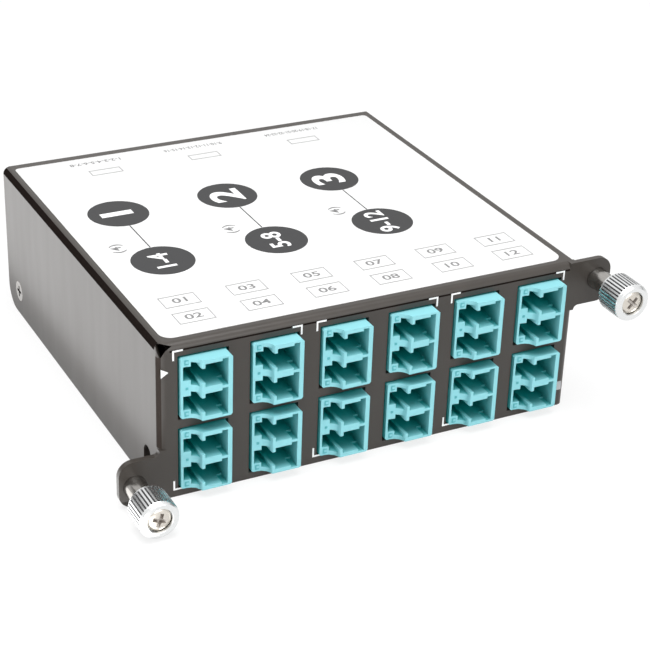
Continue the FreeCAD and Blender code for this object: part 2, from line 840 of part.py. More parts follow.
def leg_route(start, end):
    """Points of a leg that leaves and arrives along +Y: a bend, a straight run and a bend back."""
    bend = size("leg_bend")
    across = Vector(end.x - start.x, 0, end.z - start.z)
    run, offset = end.y - start.y, across.Length
    aside = Vector(across).normalize()
    ahead = Vector(0, 1, 0)
    straight = math.hypot(run, offset - 2 * bend)
    turn = math.atan2(offset - 2 * bend, run) + math.asin(2 * bend / straight)
    steps = [turn * step / LEG_CHORDS for step in range(LEG_CHORDS + 1)]
    arc = [ahead * (bend * math.sin(angle)) + aside * (bend * (1 - math.cos(angle))) for angle in steps]
    return [start + point for point in arc] + [end - point for point in reversed(arc)]


def fibre_leg(start, end):
    """A flat two-fibre leg along its route."""
    across, thick = size("leg_width") / 2, size("leg_thickness") / 2
    corners = [
        start + Vector(across * x, 0, thick * z)
        for x, z in ((-1, -1), (1, -1), (1, 1), (-1, 1))
    ]
    section = Part.makePolygon(corners + corners[:1])
    return Part.makePolygon(leg_route(start, end)).makePipeShell([section], True, False, 1)


def leg_start(column, row):
    """Where a duplex plug's boot ends."""
    axis_x = size("adapter_width") / 2 - size("port_side_wall") - size("plug_channel") / 2
    x = (column - (COLUMNS - 1) / 2) * size("column_pitch") + axis_x
    reach = size("adapter_length") - size("adapter_front") + size("plug_stick_out")
    y = -size("box_depth") / 2 + reach + size("yoke_depth") + size("boot_length")
    return Vector(x, y, size("row_base") + row * size("row_pitch") + size("adapter_height") / 2)


def leg_end(column, row):
    """Where the same leg enters the ribbon plug's boot."""
    group = column // 2
    aside = (column % 2 - 0.5) * size("leg_spacing")
    level = (row - 0.5) * size("leg_spacing")
    y = size("box_depth") / 2 - rear_plug_reach()
    return Vector((group - 1) * 2 * size("column_pitch") + aside, y, size("box_height") / 2 + level)


def rear_plug_reach():
    """From the rear wall's outer face in to the end of the ribbon plug's boot."""
    seat = size("rear_port_cavity") - size("rear_port_out") + size("rear_port_web") + size("fit_gap")
    return seat + size("rear_plug_length") + size("rear_boot_length")


def place_harnesses():
    """Three harnesses, each with four duplex plugs on four legs."""
    plug = make_duplex_plug()
    for group in range(COLUMNS // 2):
        columns = (2 * group, 2 * group + 1)
        plugs = []
        legs = []
        for row in range(ROWS):
            for column in columns:
                item = doc.addObject("Part::Compound", "plug_place_%d_%d" % (column, row))
                item.Links = [plug]
                place(item, (column_place(column), "-box_depth / 2", "row_base + %d * row_pitch" % row))
                plugs.append(item)
                legs.append(fibre_leg(leg_start(column, row), leg_end(column, row)))
        copy_at("harness_plugs_%d" % (group + 1), plugs, ("0", "0", "0"))
        fan = doc.addObject("Part::Feature", "fibre_legs_%d" % (group + 1))
        fan.Label = fan.Name
        fan.Shape = Part.makeCompound(legs)
        parts[fan.Name] = fan


# ---------------------------------------------------------------- rear multi-fibre adapters

def make_rear_adapter():
    """One multi-fibre adapter; its own frame has Y = 0 at the rear wall's outer face, +Y outwards."""
    outer = block("rear_outer",
                  ("-rear_port_width / 2 - rear_port_wall", "-rear_port_in", "-rear_port_height / 2 - rear_port_wall"),
                  ("rear_port_width + 2 * rear_port_wall", "rear_port_in + rear_port_out",
                   "rear_port_height + 2 * rear_port_wall"))
    flange = block("rear_flange", ("-rear_flange_width / 2", "0", "-rear_flange_height / 2"),
                   ("rear_flange_width", "rear_flange_depth", "rear_flange_height"))
    solid = fuse("rear_solid", [outer, flange])
    tools = []
    web_out = "rear_port_out - rear_port_cavity"
    web_in = web_out + " - rear_port_web"
    spans = {
        "outside": (web_out, "rear_port_cavity + overcut"),
        "inside": ("-rear_port_in - overcut", "rear_port_in + overcut + " + web_in),
    }
    for end, (start, deep) in spans.items():
        tools.append(block("rear_cavity_" + end, ("-rear_port_width / 2", start, "-rear_port_height / 2"),
                           ("rear_port_width", deep, "rear_port_height")))
        tools.append(block("rear_key_" + end, ("-key_width / 2", start, "0"),
                           ("key_width", deep, "rear_port_height / 2 + key_height")))
    tools.append(block("rear_window_tool",
                       ("-ribbon_ferrule_width / 2 - fit_gap", web_in + " - overcut",
                        "-ribbon_ferrule_height / 2 - fit_gap"),
                       ("ribbon_ferrule_width + 2 * fit_gap", "rear_port_web + 2 * overcut",
                        "ribbon_ferrule_height + 2 * fit_gap")))
    return cut("rear_adapter", solid, tools)


def make_rear_plug():
    """The ribbon plug seated in the inner half of a rear adapter, with its tapered boot."""
    seat = "rear_port_out - rear_port_cavity - rear_port_web - fit_gap"
    housing = block("rear_plug_housing",
                    ("-rear_port_width / 2 + fit_gap", seat + " - rear_plug_length", "-rear_port_height / 2 + fit_gap"),
                    ("rear_port_width - 2 * fit_gap", "rear_plug_length", "rear_port_height - 2 * fit_gap"))
    key = block("rear_plug_key",
                ("-key_width / 2 + fit_gap", seat + " - rear_plug_length / 2", "0"),
                ("key_width - 2 * fit_gap", "rear_plug_length / 2", "rear_port_height / 2 + key_height - fit_gap"))
    ferrule = block("ribbon_ferrule",
                    ("-ribbon_ferrule_width / 2", seat + " - overcut", "-ribbon_ferrule_height / 2"),
                    ("ribbon_ferrule_width", "rear_port_web + overcut", "ribbon_ferrule_height"))
    boot = tapered("ribbon_boot", ("0", seat + " - rear_plug_length", "0"),
                   ("rear_port_width - 2 * rear_boot_step", "rear_port_height - 2 * rear_boot_step"),
                   ("rear_boot_width", "rear_boot_height"), "rear_boot_length", turn=180)
    return fuse("ribbon_plug", [housing, key, ferrule, boot])


def place_rear_ports():
    adapter = make_rear_adapter()
    plug = make_rear_plug()
    for group in range(COLUMNS // 2):
        corner = ("%d * 2 * column_pitch" % (group - 1), "box_depth / 2", "box_height / 2")
        copy_at("rear_adapter_%d" % (group + 1), [adapter], corner)
        copy_at("rear_plug_%d" % (group + 1), [plug], corner)


# ---------------------------------------------------------------- captive thumbscrews

def revolved(name, profile):
    """A body turned about Y from a closed profile of (radius, y) points, each an expression."""
    body = new_body(name + "_body")
    sketch = sketch_on(body, name + "_profile", "XY_Plane")
    values = [Vector(number(radius), number(along), 0) for radius, along in profile]
    count = len(values)
    for here in range(count):
        sketch.addGeometry(Part.LineSegment(values[here], values[(here + 1) % count]))
    for here in range(count):
        sketch.addConstraint(Sketcher.Constraint("Coincident", here, 2, (here + 1) % count, 1))
    for here, (radius, along) in enumerate(profile):
        fix_distance(sketch, "DistanceX", here, "radius_%d" % here, radius)
        fix_distance(sketch, "DistanceY", here, "along_%d" % here, along)
    turned = body.newObject("PartDesign::Revolution", name + "_turned")
    turned.Profile = sketch
    turned.ReferenceAxis = (sketch, ["V_Axis"])
    turned.Angle = 360
    doc.recompute()
    return body


def fix_distance(sketch, kind, vertex, label, text):
    """Hold a corner at a distance from the sketch's origin, on the side where it lies."""
    value = number(text)
    if abs(value) < 1e-9:
        on_axis = Sketcher.Constraint("PointOnObject", vertex, 1, -2 if kind == "DistanceX" else -1)
        sketch.addConstraint(on_axis)
    elif value > 0:
        sketch.addConstraint(Sketcher.Constraint(kind, -1, 1, vertex, 1, value))
        name_last(sketch, label, text)
    else:
        sketch.addConstraint(Sketcher.Constraint(kind, vertex, 1, -1, 1, -value))
        name_last(sketch, label, "-(%s)" % text)


def number(text):
    """The value of an expression on the sheet."""
    return float(sizes.evalExpression(named(text)))


KNOB_BACK = "knob_overlap - retainer_length"
KNOB_FRONT = "knob_overlap - retainer_length - knob_length"


def make_retainer():
    """The sleeve pressed in the ear: its floor holds the screw's thread back."""
    neck = "screw_neck_radius + screw_play"
    return revolved("retainer", [
        (neck, "sheet"),
        ("retainer_radius", "sheet"),
        ("retainer_radius", "-retainer_length"),
        ("retainer_bore", "-retainer_length"),
        ("retainer_bore", "0"),
        (neck, "0"),
    ])


def make_knob():
    """The knurled knob, hollow behind and recessed in front for its screw's head."""
    bore = "retainer_radius + knob_bore_play"
    bore_end = KNOB_BACK + " - knob_bore_depth"
    rim = "knob_radius - knurl_depth - knob_rim_step"
    body = revolved("knob", [
        (bore, KNOB_BACK),
        ("knob_radius", KNOB_BACK),
        ("knob_radius", KNOB_FRONT + " + knob_chamfer"),
        (rim, KNOB_FRONT + " + knob_chamfer"),
        (rim, KNOB_FRONT),
        ("knob_recess_radius", KNOB_FRONT),
        ("knob_recess_radius", KNOB_FRONT + " + knob_recess_depth"),
        ("screw_neck_radius", KNOB_FRONT + " + knob_recess_depth"),
        ("screw_neck_radius", bore_end),
        (bore, bore_end),
    ])
    groove = sketch_on(body, "knurl_groove", "XZ_Plane",
                       ("0", "knob_radius - knurl_depth", "-(%s) - overcut" % KNOB_BACK))
    notch_profile(groove, "2 * knurl_width", "2 * knurl_depth")
    first = pocket(body, "knurl", groove, "knob_length + 2 * overcut", reverse=True)
    pattern = body.newObject("PartDesign::PolarPattern", "knurling")
    pattern.Originals = [first]
    pattern.Axis = (origin_item(body, "Y_Axis"), [""])
    pattern.Angle = 360
    pattern.Occurrences = KNURLS
    body.Tip = pattern
    doc.recompute()
    return body


def notch_profile(sketch, width, height):
    """A V with its point on the sketch's origin, opening upwards."""
    point, right, left = Vector(0, 0, 0), Vector(1, 1, 0), Vector(-1, 1, 0)
    for here, there in ((point, right), (right, left), (left, point)):
        sketch.addGeometry(Part.LineSegment(here, there))
    for side in range(3):
        sketch.addConstraint(Sketcher.Constraint("Coincident", side, 2, (side + 1) % 3, 1))
    sketch.addConstraint(Sketcher.Constraint("Coincident", 0, 1, -1, 1))
    sketch.addConstraint(Sketcher.Constraint("Symmetric", 1, 1, 1, 2, -2))
    sketch.addConstraint(Sketcher.Constraint("DistanceX", 1, 2, 1, 1, 2.0))
    name_last(sketch, "width", width)
    sketch.addConstraint(Sketcher.Constraint("DistanceY", -1, 1, 0, 2, 1.0))
    name_last(sketch, "height", height)


def cross_recess(body, name, plane, offset, width, length, depth, reverse):
    """A cross-shaped driver recess: two crossed slots."""
    for arm, (across, along) in enumerate(((width, length), (length, width))):
        slot = sketch_on(body, "%s_slot_%d" % (name, arm), plane, offset)
        rectangle(slot, across, along)
        pocket(body, "%s_recess_%d" % (name, arm), slot, depth, reverse)


HEAD_BACK = KNOB_FRONT + " + knob_recess_depth"
HEAD_FRONT = HEAD_BACK + " - screw_head_height"


def make_screw():
    """The knob's screw: a cross-recessed head, a thin neck and a thread that can't pass the retainer."""
    thread_start = "sheet + thread_gap"
    body = revolved("screw", [
        ("0", HEAD_FRONT),
        ("screw_head_radius", HEAD_FRONT),
        ("screw_head_radius", HEAD_BACK),
        ("screw_neck_radius", HEAD_BACK),
        ("screw_neck_radius", thread_start),
        ("thread_radius", thread_start),
        ("thread_radius", thread_start + " + thread_length"),
        ("0", thread_start + " + thread_length"),
    ])
    cross_recess(body, "screw_cross", "XZ_Plane", ("0", "0", "-(%s) + overcut" % HEAD_FRONT),
                 "cross_width", "cross_length", "cross_depth + overcut", False)
    return body


def make_spring():
    """The return spring, between the retainer's floor and the knob: square wire, eight runs a turn."""
    wire = size("spring_wire")
    radius = size("spring_radius")
    free = size("retainer_length") - size("knob_overlap") + size("knob_bore_depth")
    rise = free - wire - 2 * size("spring_seat_gap")
    runs = SPRING_RUNS * SPRING_TURNS
    start = -(wire / 2 + size("spring_seat_gap"))
    turns = [2 * math.pi * run / SPRING_RUNS for run in range(runs + 1)]
    path = Part.makePolygon([
        Vector(radius * math.cos(turn), start - rise * run / runs, radius * math.sin(turn))
        for run, turn in enumerate(turns)
    ])
    corners = [
        Vector(radius + wire / 2 * x, start + wire / 2 * y, 0)
        for x, y in ((-1, -1), (1, -1), (1, 1), (-1, 1))
    ]
    section = Part.makePolygon(corners + corners[:1])
    spring = doc.addObject("Part::Feature", "coil_spring")
    spring.Shape = path.makePipeShell([section], True, True, 1)
    return spring


def place_thumbscrews():
    pieces = {"retainer": make_retainer(), "knob": make_knob(), "screw": make_screw(), "spring": make_spring()}
    for side, word in ((-1, "left"), (1, "right")):
        for piece, shape in pieces.items():
            copy_at("%s_%s" % (word, piece), [shape], screw_place(side))


# ---------------------------------------------------------------- side screws

def make_side_screw():
    """A countersunk screw along Y, with the middle of its flat head at its own origin."""
    body = revolved("side_screw", [
        ("0", "0"),
        ("side_head_radius - fit_gap", "0"),
        ("side_screw_radius", "side_head_radius - side_screw_radius - fit_gap"),
        ("side_screw_radius", "side_screw_length"),
        ("0", "side_screw_length"),
    ])
    cross_recess(body, "side_cross", "XZ_Plane", ("0", "0", "overcut"),
                 "side_cross_width", "side_cross_length", "side_cross_depth + overcut", False)
    return body


def place_side_screws():
    screw = make_side_screw()
    pair = []
    for side in (-1, 1):
        item = doc.addObject("Part::Compound", "side_screw_%d" % (side + 1))
        item.Links = [screw]
        item.Placement.Rotation = Rotation(Vector(0, 0, 1), -90 if side < 0 else 90)
        place(item, ("%d * box_width / 2" % side, "box_depth / 2 - side_screw_back", "side_screw_rise"))
        pair.append(item)
    copy_at("side_screws", pair, ("0", "0", "0"))


# ---------------------------------------------------------------- build and write

def check_document():
    doc.recompute()
    for item in doc.Objects:
        if "Invalid" in item.State or "Error" in item.State:
            raise RuntimeError("%s: %s" % (item.Name, item.State))
    for name, item in parts.items():
        if item.Shape.isNull() or not item.Shape.isValid() or not item.Shape.Solids:
            raise RuntimeError(name + " has no valid shape")


def write_parts():
    os.makedirs("parts", exist_ok=True)
    for name, item in parts.items():
        item.Shape.exportStep("parts/%s.step" % name)
        print("%-18s solids %2d  volume %9.1f" % (name, len(item.Shape.Solids), item.Shape.Volume))


make_cover()
make_tray()
make_bracket()
make_label()
place_adapters()
place_harnesses()
place_rear_ports()
place_thumbscrews()
place_side_screws()
check_document()
write_parts()
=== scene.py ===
# %% [markdown]
# # A fibre breakout cassette, dressed in Blender
#
# The solid model of the cassette is already built and packed. This notebook loads it as a fixed
# frame and gives it its looks: paint, moulded plastic, printed film, plated screws, and the small
# forms that are too fine for the solid model. Everything is in metres, in the solid model's frame:
# X runs along the front panel, +Y goes into the box and +Z is up.

# %% Load the frame
import math

import bmesh
import bpy
from mathutils import Matrix, Vector


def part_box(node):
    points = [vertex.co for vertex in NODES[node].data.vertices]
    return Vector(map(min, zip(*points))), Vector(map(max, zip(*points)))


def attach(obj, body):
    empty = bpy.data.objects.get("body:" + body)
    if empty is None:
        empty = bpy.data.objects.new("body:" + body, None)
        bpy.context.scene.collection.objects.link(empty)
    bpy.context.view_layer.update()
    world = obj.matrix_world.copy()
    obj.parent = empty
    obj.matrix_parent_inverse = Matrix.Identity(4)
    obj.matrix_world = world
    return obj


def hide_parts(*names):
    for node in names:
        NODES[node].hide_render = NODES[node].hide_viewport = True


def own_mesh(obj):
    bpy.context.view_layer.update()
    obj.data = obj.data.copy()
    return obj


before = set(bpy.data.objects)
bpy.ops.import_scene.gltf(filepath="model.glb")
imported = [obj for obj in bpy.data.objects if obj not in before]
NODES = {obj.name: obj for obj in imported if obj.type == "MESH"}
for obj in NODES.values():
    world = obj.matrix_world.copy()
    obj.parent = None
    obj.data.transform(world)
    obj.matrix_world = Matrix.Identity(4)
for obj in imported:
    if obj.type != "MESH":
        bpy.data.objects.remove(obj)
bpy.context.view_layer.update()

# %% [markdown]
# ## Places, read from the frame
#
# Detail has to sit on the solid pieces, so its places start from their boxes: the front panel's
# outer face, the cover's top and the adapters' faces. Print is then laid out on those faces in
# millimetres. The box's left side and the radius of its folds are typed here instead, because the
# ears reach past the side and a box knows nothing of a fold.

# %% Measure the frame
MM = 0.001
panel_low, panel_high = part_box("cover")
PANEL_Y = panel_low.y
TOP_Z = panel_high.z
LEFT_SIDE_X = -45.7 * MM
FOLD_RADIUS = 1.6 * MM
ADAPTERS = sorted(name for name in NODES if name.startswith("adapter_") and name[-1].isdigit())
REAR_ADAPTERS = sorted(name for name in NODES if name.startswith("rear_adapter"))
print("panel at y", round(PANEL_Y, 4), "top at z", round(TOP_Z, 4), "adapters", len(ADAPTERS))

# %% [markdown]
# ## The camera
#
# The cassette is seen from its front left, from above, with a long lens. A camera is easiest to
# place by what it looks at: a target point, a distance, an azimuth and an elevation. A small roll
# turns it about its own axis.

# %% Camera
LOOK_AT = Vector((5.3, -11.7, 9.4)) * MM
DISTANCE = 386.5 * MM
AZIMUTH = math.radians(-27.57)
ELEVATION = math.radians(27.94)
ROLL = math.radians(2.0)
LENS = 99.9
SENSOR = 36
SHIFT = (0.0056, 0.0079)
NEAREST = 10 * MM


def camera_turn():
    """The camera's axes: its back points from the target to the camera, and its right is level."""
    back = Vector((math.sin(AZIMUTH) * math.cos(ELEVATION),
                   -math.cos(AZIMUTH) * math.cos(ELEVATION),
                   math.sin(ELEVATION)))
    right = Vector((0, 0, 1)).cross(back).normalized()
    up = back.cross(right)
    rolled_right = right * math.cos(ROLL) + up * math.sin(ROLL)
    rolled_up = up * math.cos(ROLL) - right * math.sin(ROLL)
    return Matrix((rolled_right, rolled_up, back)).transposed()


def add_camera():
    """A long-lensed camera that looks at the target from its distance."""
    data = bpy.data.cameras.new("camera")
    data.lens = LENS
    data.sensor_width = SENSOR
    data.shift_x, data.shift_y = SHIFT
    data.clip_start = NEAREST
    camera = bpy.data.objects.new("camera", data)
    bpy.context.collection.objects.link(camera)
    turn = camera_turn()
    camera.matrix_world = Matrix.Translation(LOOK_AT + turn.col[2] * DISTANCE) @ turn.to_4x4()
    bpy.context.scene.camera = camera
    return camera


camera = add_camera()
print("camera at", tuple(round(value, 3) for value in camera.location))

# %% [markdown]
# ## The studio
#
# A product like this is lit softly: a broad lamp above, a weaker one in front, a third laid on the
# floor at the left, and a pale floor. The background must be white, and that is done with the Light
# Path node: a ray that comes from the camera, from a mirror or through glass sees plain white,
# while every other ray sees the dimmer light that the object is lit with.

# %% World
LIT_LEVEL = 0.36
WHITE = (1.0, 1.0, 1.0, 1.0)


def either(tree, *sockets):
    """A value of 1 where any of the given 0-or-1 sockets is 1."""
    total = sockets[0]
    for socket in sockets[1:]:
        step = tree.nodes.new("ShaderNodeMath")
        step.operation = "MAXIMUM"
        tree.links.new(total, step.inputs[0])
        tree.links.new(socket, step.inputs[1])
        total = step.outputs[0]
    return total


def seen_directly(tree):
    """1 for a ray that shows the backdrop: from the camera, a mirror or glass."""
    path = tree.nodes.new("ShaderNodeLightPath")
    return either(tree, path.outputs["Is Camera Ray"], path.outputs["Is Glossy Ray"],
                  path.outputs["Is Transmission Ray"])


def light_world():
    """A world that is white to look at and dimmer to be lit by."""
    world = bpy.data.worlds.new("studio")
    bpy.context.scene.world = world
    world.use_nodes = True
    tree = world.node_tree
    background = tree.nodes["Background"]
    background.inputs["Color"].default_value = WHITE
    strength = tree.nodes.new("ShaderNodeMapRange")
    strength.inputs["To Min"].default_value = LIT_LEVEL
    strength.inputs["To Max"].default_value = 1.0
    tree.links.new(seen_directly(tree), strength.inputs["Value"])
    tree.links.new(strength.outputs[0], background.inputs["Strength"])
    bpy.context.scene.view_settings.view_transform = "Standard"


light_world()
print("world lit at", LIT_LEVEL)

# %% [markdown]
# An area lamp is placed by where it stands and what it looks at. Its strength is in watts, and a
# lamp close to a small object needs very few of them. The camera doesn't see the lamps, but satin
# paint and a polished knob do. The low lamp faces straight up and is there to be mirrored: the left
# side shows its near edge as a soft gradient.

# %% Lamps


def add_lamp(name, place, target, sides, watts):
    """A rectangular area lamp at a place in metres, turned towards a target."""
    data = bpy.data.lights.new(name, "AREA")
    data.shape = "RECTANGLE"
    data.size, data.size_y = sides
    data.energy = watts
    lamp = bpy.data.objects.new(name, data)
    bpy.context.collection.objects.link(lamp)
    lamp.location = place
    lamp.rotation_euler = (Vector(target) - Vector(place)).to_track_quat("-Z", "Y").to_euler()
    lamp.visible_camera = False
    return lamp


add_lamp("top_lamp", (-0.10, -0.10, 0.75), (0, 0, 0), (0.6, 0.6), 7.2)
add_lamp("front_lamp", (0.10, -0.75, 0.40), (0, 0, 0.01), (0.5, 0.5), 2.3)
add_lamp("low_left_lamp", (-0.196, 0.12, 0.0015), (-0.196, 0.12, 1.0), (0.290, 0.44), 0.50)

# %% [markdown]
# The floor is a single square just below the box. Seen by the camera it is plain white wherever no
# shadow falls: a white glow is mixed with a white diffuse, so the soft shadow stays.

# %% Floor
FLOOR_SIDE = 6.0
FLOOR_GLOW = 0.80
FLOOR_GAP = 0.1 * MM


def flat_square(name, side):
    """A flat square about the origin, used for the floor and the cards."""
    shape = bmesh.new()
    bmesh.ops.create_grid(shape, x_segments=1, y_segments=1, size=side / 2)
    mesh = bpy.data.meshes.new(name)
    shape.to_mesh(mesh)
    shape.free()
    square = bpy.data.objects.new(name, mesh)
    bpy.context.collection.objects.link(square)
    return square


def floor_material():
    """Matt white that glows towards the camera, and shows a soft shadow all the same."""
    material = bpy.data.materials.new("floor")
    material.use_nodes = True
    tree = material.node_tree
    diffuse = tree.nodes["Principled BSDF"]
    diffuse.inputs["Base Color"].default_value = (0.93, 0.93, 0.93, 1.0)
    diffuse.inputs["Roughness"].default_value = 0.9
    diffuse.inputs["Specular IOR Level"].default_value = 0.0
    glow = tree.nodes.new("ShaderNodeEmission")
    glow.inputs["Color"].default_value = WHITE
    level = tree.nodes.new("ShaderNodeMapRange")
    level.inputs["To Max"].default_value = FLOOR_GLOW
    tree.links.new(seen_directly(tree), level.inputs["Value"])
    mix = tree.nodes.new("ShaderNodeMixShader")
    tree.links.new(level.outputs[0], mix.inputs["Fac"])
    tree.links.new(diffuse.outputs[0], mix.inputs[1])
    tree.links.new(glow.outputs[0], mix.inputs[2])
    tree.links.new(mix.outputs[0], tree.nodes["Material Output"].inputs["Surface"])
    return material


floor = flat_square("floor", FLOOR_SIDE)
floor.location.z = panel_low.z - FLOOR_GAP
floor.data.materials.append(floor_material())
print("floor at z", round(floor.location.z, 4))

# %% [markdown]
# Polished metal needs something dark to reflect, or it looks like paint. Three dark cards stand
# round the cassette for that. They are hidden from the camera and from diffuse light and cast no
# shadow, so only what is glossy shows them.

# %% Dark cards


def card_material():
    """Plain matt grey."""
    material = bpy.data.materials.new("dark_card")
    material.use_nodes = True
    shader = material.node_tree.nodes["Principled BSDF"]
    shader.inputs["Base Color"].default_value = (0.20, 0.20, 0.20, 1.0)
    shader.inputs["Roughness"].default_value = 1.0
    return material


def add_card(name, place, target, side):
    """A square card at a place in metres that faces a target."""
    card = flat_square(name, side)
    card.location = place
    card.rotation_euler = (Vector(target) - Vector(place)).to_track_quat("Z", "Y").to_euler()
    card.data.materials.append(CARD)
    card.visible_camera = False
    card.visible_diffuse = False
    card.visible_shadow = False
    return card


CARD = card_material()
BOX_MIDDLE = (0, 0, 0.02)
add_card("card_back", (-0.45, 0.70, 0.22), BOX_MIDDLE, 0.5)
add_card("card_right", (0.65, -0.25, 0.10), BOX_MIDDLE, 0.35)
add_card("card_far_right", (0.38, 0.48, 0.0), BOX_MIDDLE, 0.36)

# %% [markdown]
# ## Materials
#
# All finishes share one recipe. A Principled shader gets its plain values on its own sockets. Then
# a noise on Object coordinates varies the colour a little, and a finer noise feeds a Bump node, so
# that no surface is perfectly even. The recipe is a function, and each finish calls it with the
# numbers of its own paint, plastic or metal.

# %% The shared recipe
GRAIN_DEPTH = 0.02 * MM


def noise(tree, scale, detail, stretch=(1, 1, 1)):
    """A noise on Object coordinates, pulled long along an axis where its stretch is small."""
    coordinates = tree.nodes.new("ShaderNodeTexCoord")
    mapping = tree.nodes.new("ShaderNodeMapping")
    mapping.inputs["Scale"].default_value = stretch
    texture = tree.nodes.new("ShaderNodeTexNoise")
    texture.inputs["Scale"].default_value = scale
    texture.inputs["Detail"].default_value = detail
    tree.links.new(coordinates.outputs["Object"], mapping.inputs["Vector"])
    tree.links.new(mapping.outputs[0], texture.inputs["Vector"])
    return texture.outputs["Fac"]


def scaled(colour, factor):
    """A colour made lighter or darker, with its alpha."""
    return tuple(min(1.0, channel * factor) for channel in colour) + (1.0,)


def vary_roughness(tree, shader, factor, roughness, spread):
    """Let the roughness follow a noise, a share above and below its mean."""
    rough = tree.nodes.new("ShaderNodeMapRange")
    rough.inputs["To Min"].default_value = roughness * (1 - spread)
    rough.inputs["To Max"].default_value = roughness * (1 + spread)
    tree.links.new(factor, rough.inputs["Value"])
    tree.links.new(rough.outputs[0], shader.inputs["Roughness"])


def add_grain(tree, shader, scale, strength):
    """A fine unevenness of the surface, as a bump."""
    bump = tree.nodes.new("ShaderNodeBump")
    bump.inputs["Strength"].default_value = strength
    bump.inputs["Distance"].default_value = GRAIN_DEPTH
    tree.links.new(noise(tree, scale, 2.0), bump.inputs["Height"])
    tree.links.new(bump.outputs["Normal"], shader.inputs["Normal"])


def finish(name, colour, roughness, metallic=0.0, specular=0.5, mottle=0.06, mottle_scale=120.0,
           grain=0.05, grain_scale=2500.0, stretch=(1, 1, 1), spread=0.1):
    """A Principled material whose colour and surface vary a little over the piece."""
    material = bpy.data.materials.new(name)
    material.use_nodes = True
    tree = material.node_tree
    shader = tree.nodes["Principled BSDF"]
    shader.inputs["Metallic"].default_value = metallic
    shader.inputs["Specular IOR Level"].default_value = specular
    factor = noise(tree, mottle_scale, 3.0, stretch)
    shade = tree.nodes.new("ShaderNodeMix")
    shade.data_type = "RGBA"
    shade.inputs["A"].default_value = scaled(colour, 1 - mottle)
    shade.inputs["B"].default_value = scaled(colour, 1 + mottle)
    tree.links.new(factor, shade.inputs["Factor"])
    tree.links.new(shade.outputs["Result"], shader.inputs["Base Color"])
    vary_roughness(tree, shader, factor, roughness, spread)
    add_grain(tree, shader, grain_scale, grain)
    return material


print("a mid grey, a tenth darker:", scaled((0.5, 0.5, 0.5), 0.9))

# %% [markdown]
# Coloured plastic is given painted shade in its corners, deeper there than on an open face. An
# Ambient Occlusion node measures how closed in each spot is, and mixes a deeper, darker colour in
# there.

# %% Painted shade in corners
CLOSED_IN = 0.12
WIDE_OPEN = 0.58


def deepen(material, shade_colour, reach):
    """Paint shade: mix a deeper, darker colour in where a piece closes in on itself."""
    tree = material.node_tree
    shader = tree.nodes["Principled BSDF"]
    open_colour = shader.inputs["Base Color"].links[0].from_socket
    hollow = tree.nodes.new("ShaderNodeAmbientOcclusion")
    hollow.inputs["Distance"].default_value = reach
    openness = tree.nodes.new("ShaderNodeMapRange")
    openness.inputs["From Min"].default_value = CLOSED_IN
    openness.inputs["From Max"].default_value = WIDE_OPEN
    tree.links.new(hollow.outputs["AO"], openness.inputs["Value"])
    mix = tree.nodes.new("ShaderNodeMix")
    mix.data_type = "RGBA"
    mix.inputs["A"].default_value = shade_colour + (1.0,)
    tree.links.new(openness.outputs[0], mix.inputs["Factor"])
    tree.links.new(open_colour, mix.inputs["B"])
    tree.links.new(mix.outputs["Result"], shader.inputs["Base Color"])


print("the deep colour fades out between openness", CLOSED_IN, "and", WIDE_OPEN)

# %% [markdown]
# The box has a satin dark brown-grey coat, a little streaky from top to bottom, and its folds get
# painted shade: a near-black strip and a darker matt coat. The adapters and the fibre jackets are
# aqua, the usual colour of this grade of fibre, and the adapters' moulded marks are a darker aqua,
# painted shade for their fine edges. The film is white, its inks are greys, and the metals are
# plated. Darker metal is painted into the bottoms of the knobs' grooves and the screws' recesses as
# shade.

# %% The finishes
PAINT = finish("satin_paint", (0.043, 0.037, 0.032), 0.34, specular=0.40, mottle=0.10,
               mottle_scale=260.0, grain=0.25, grain_scale=3200.0, stretch=(1, 1, 0.12), spread=0.16)
AQUA = finish("aqua_plastic", (0.240, 0.575, 0.625), 0.42, specular=0.30, mottle=0.04, grain=0.10)
# painted shade: a deep teal mixed into the adapters' corners and channels
deepen(AQUA, (0.0, 0.30, 0.295), 9.0 * MM)
# painted shade: a darker aqua for the moulded marks' fine edges
MARK_SHADE_AQUA = finish("aqua_mark_shade", (0.08, 0.38, 0.42), 0.45, mottle=0.05)
JACKET = finish("aqua_jacket", (0.10, 0.50, 0.54), 0.5, mottle=0.05)
PLUG = finish("plug_plastic", (0.06, 0.20, 0.22), 0.45, mottle=0.05)
BLACK = finish("black_plastic", (0.022, 0.022, 0.024), 0.4, mottle=0.12, grain=0.2)
# painted shade: near-black matt strips for the left and front folds
SHADE = finish("fold_shade", (0.012, 0.009, 0.008), 0.95, specular=0.0, mottle=0.25,
               mottle_scale=900.0)
# painted shade: a darker matt coat without sheen for the upright fold
FOLD_SHADE_COAT = finish("fold_shade_coat", (0.040, 0.032, 0.028), 0.9, specular=0.05, mottle=0.15,
                   mottle_scale=500.0)
FILM = finish("white_film", (0.70, 0.70, 0.70), 0.5, specular=0.4, mottle=0.012, mottle_scale=40.0)
DARK_INK = finish("dark_ink", (0.032, 0.032, 0.033), 0.6, specular=0.35, mottle=0.16,
                  mottle_scale=900.0)
PALE_INK = finish("pale_ink", (0.20, 0.20, 0.20), 0.6, mottle=0.12, mottle_scale=1500.0)
LINE_INK = finish("line_ink", (0.34, 0.34, 0.34), 0.6, mottle=0.10, mottle_scale=1500.0)
WHITE_INK = finish("white_ink", (0.84, 0.84, 0.84), 0.55, mottle=0.03)
GREY_INK = finish("grey_ink", (0.42, 0.42, 0.43), 0.55, mottle=0.08, mottle_scale=900.0)
CHROME = finish("bright_plate", (0.77, 0.78, 0.78), 0.25, metallic=1.0, mottle=0.04, mottle_scale=600.0,
                grain=0.12, grain_scale=4000.0)
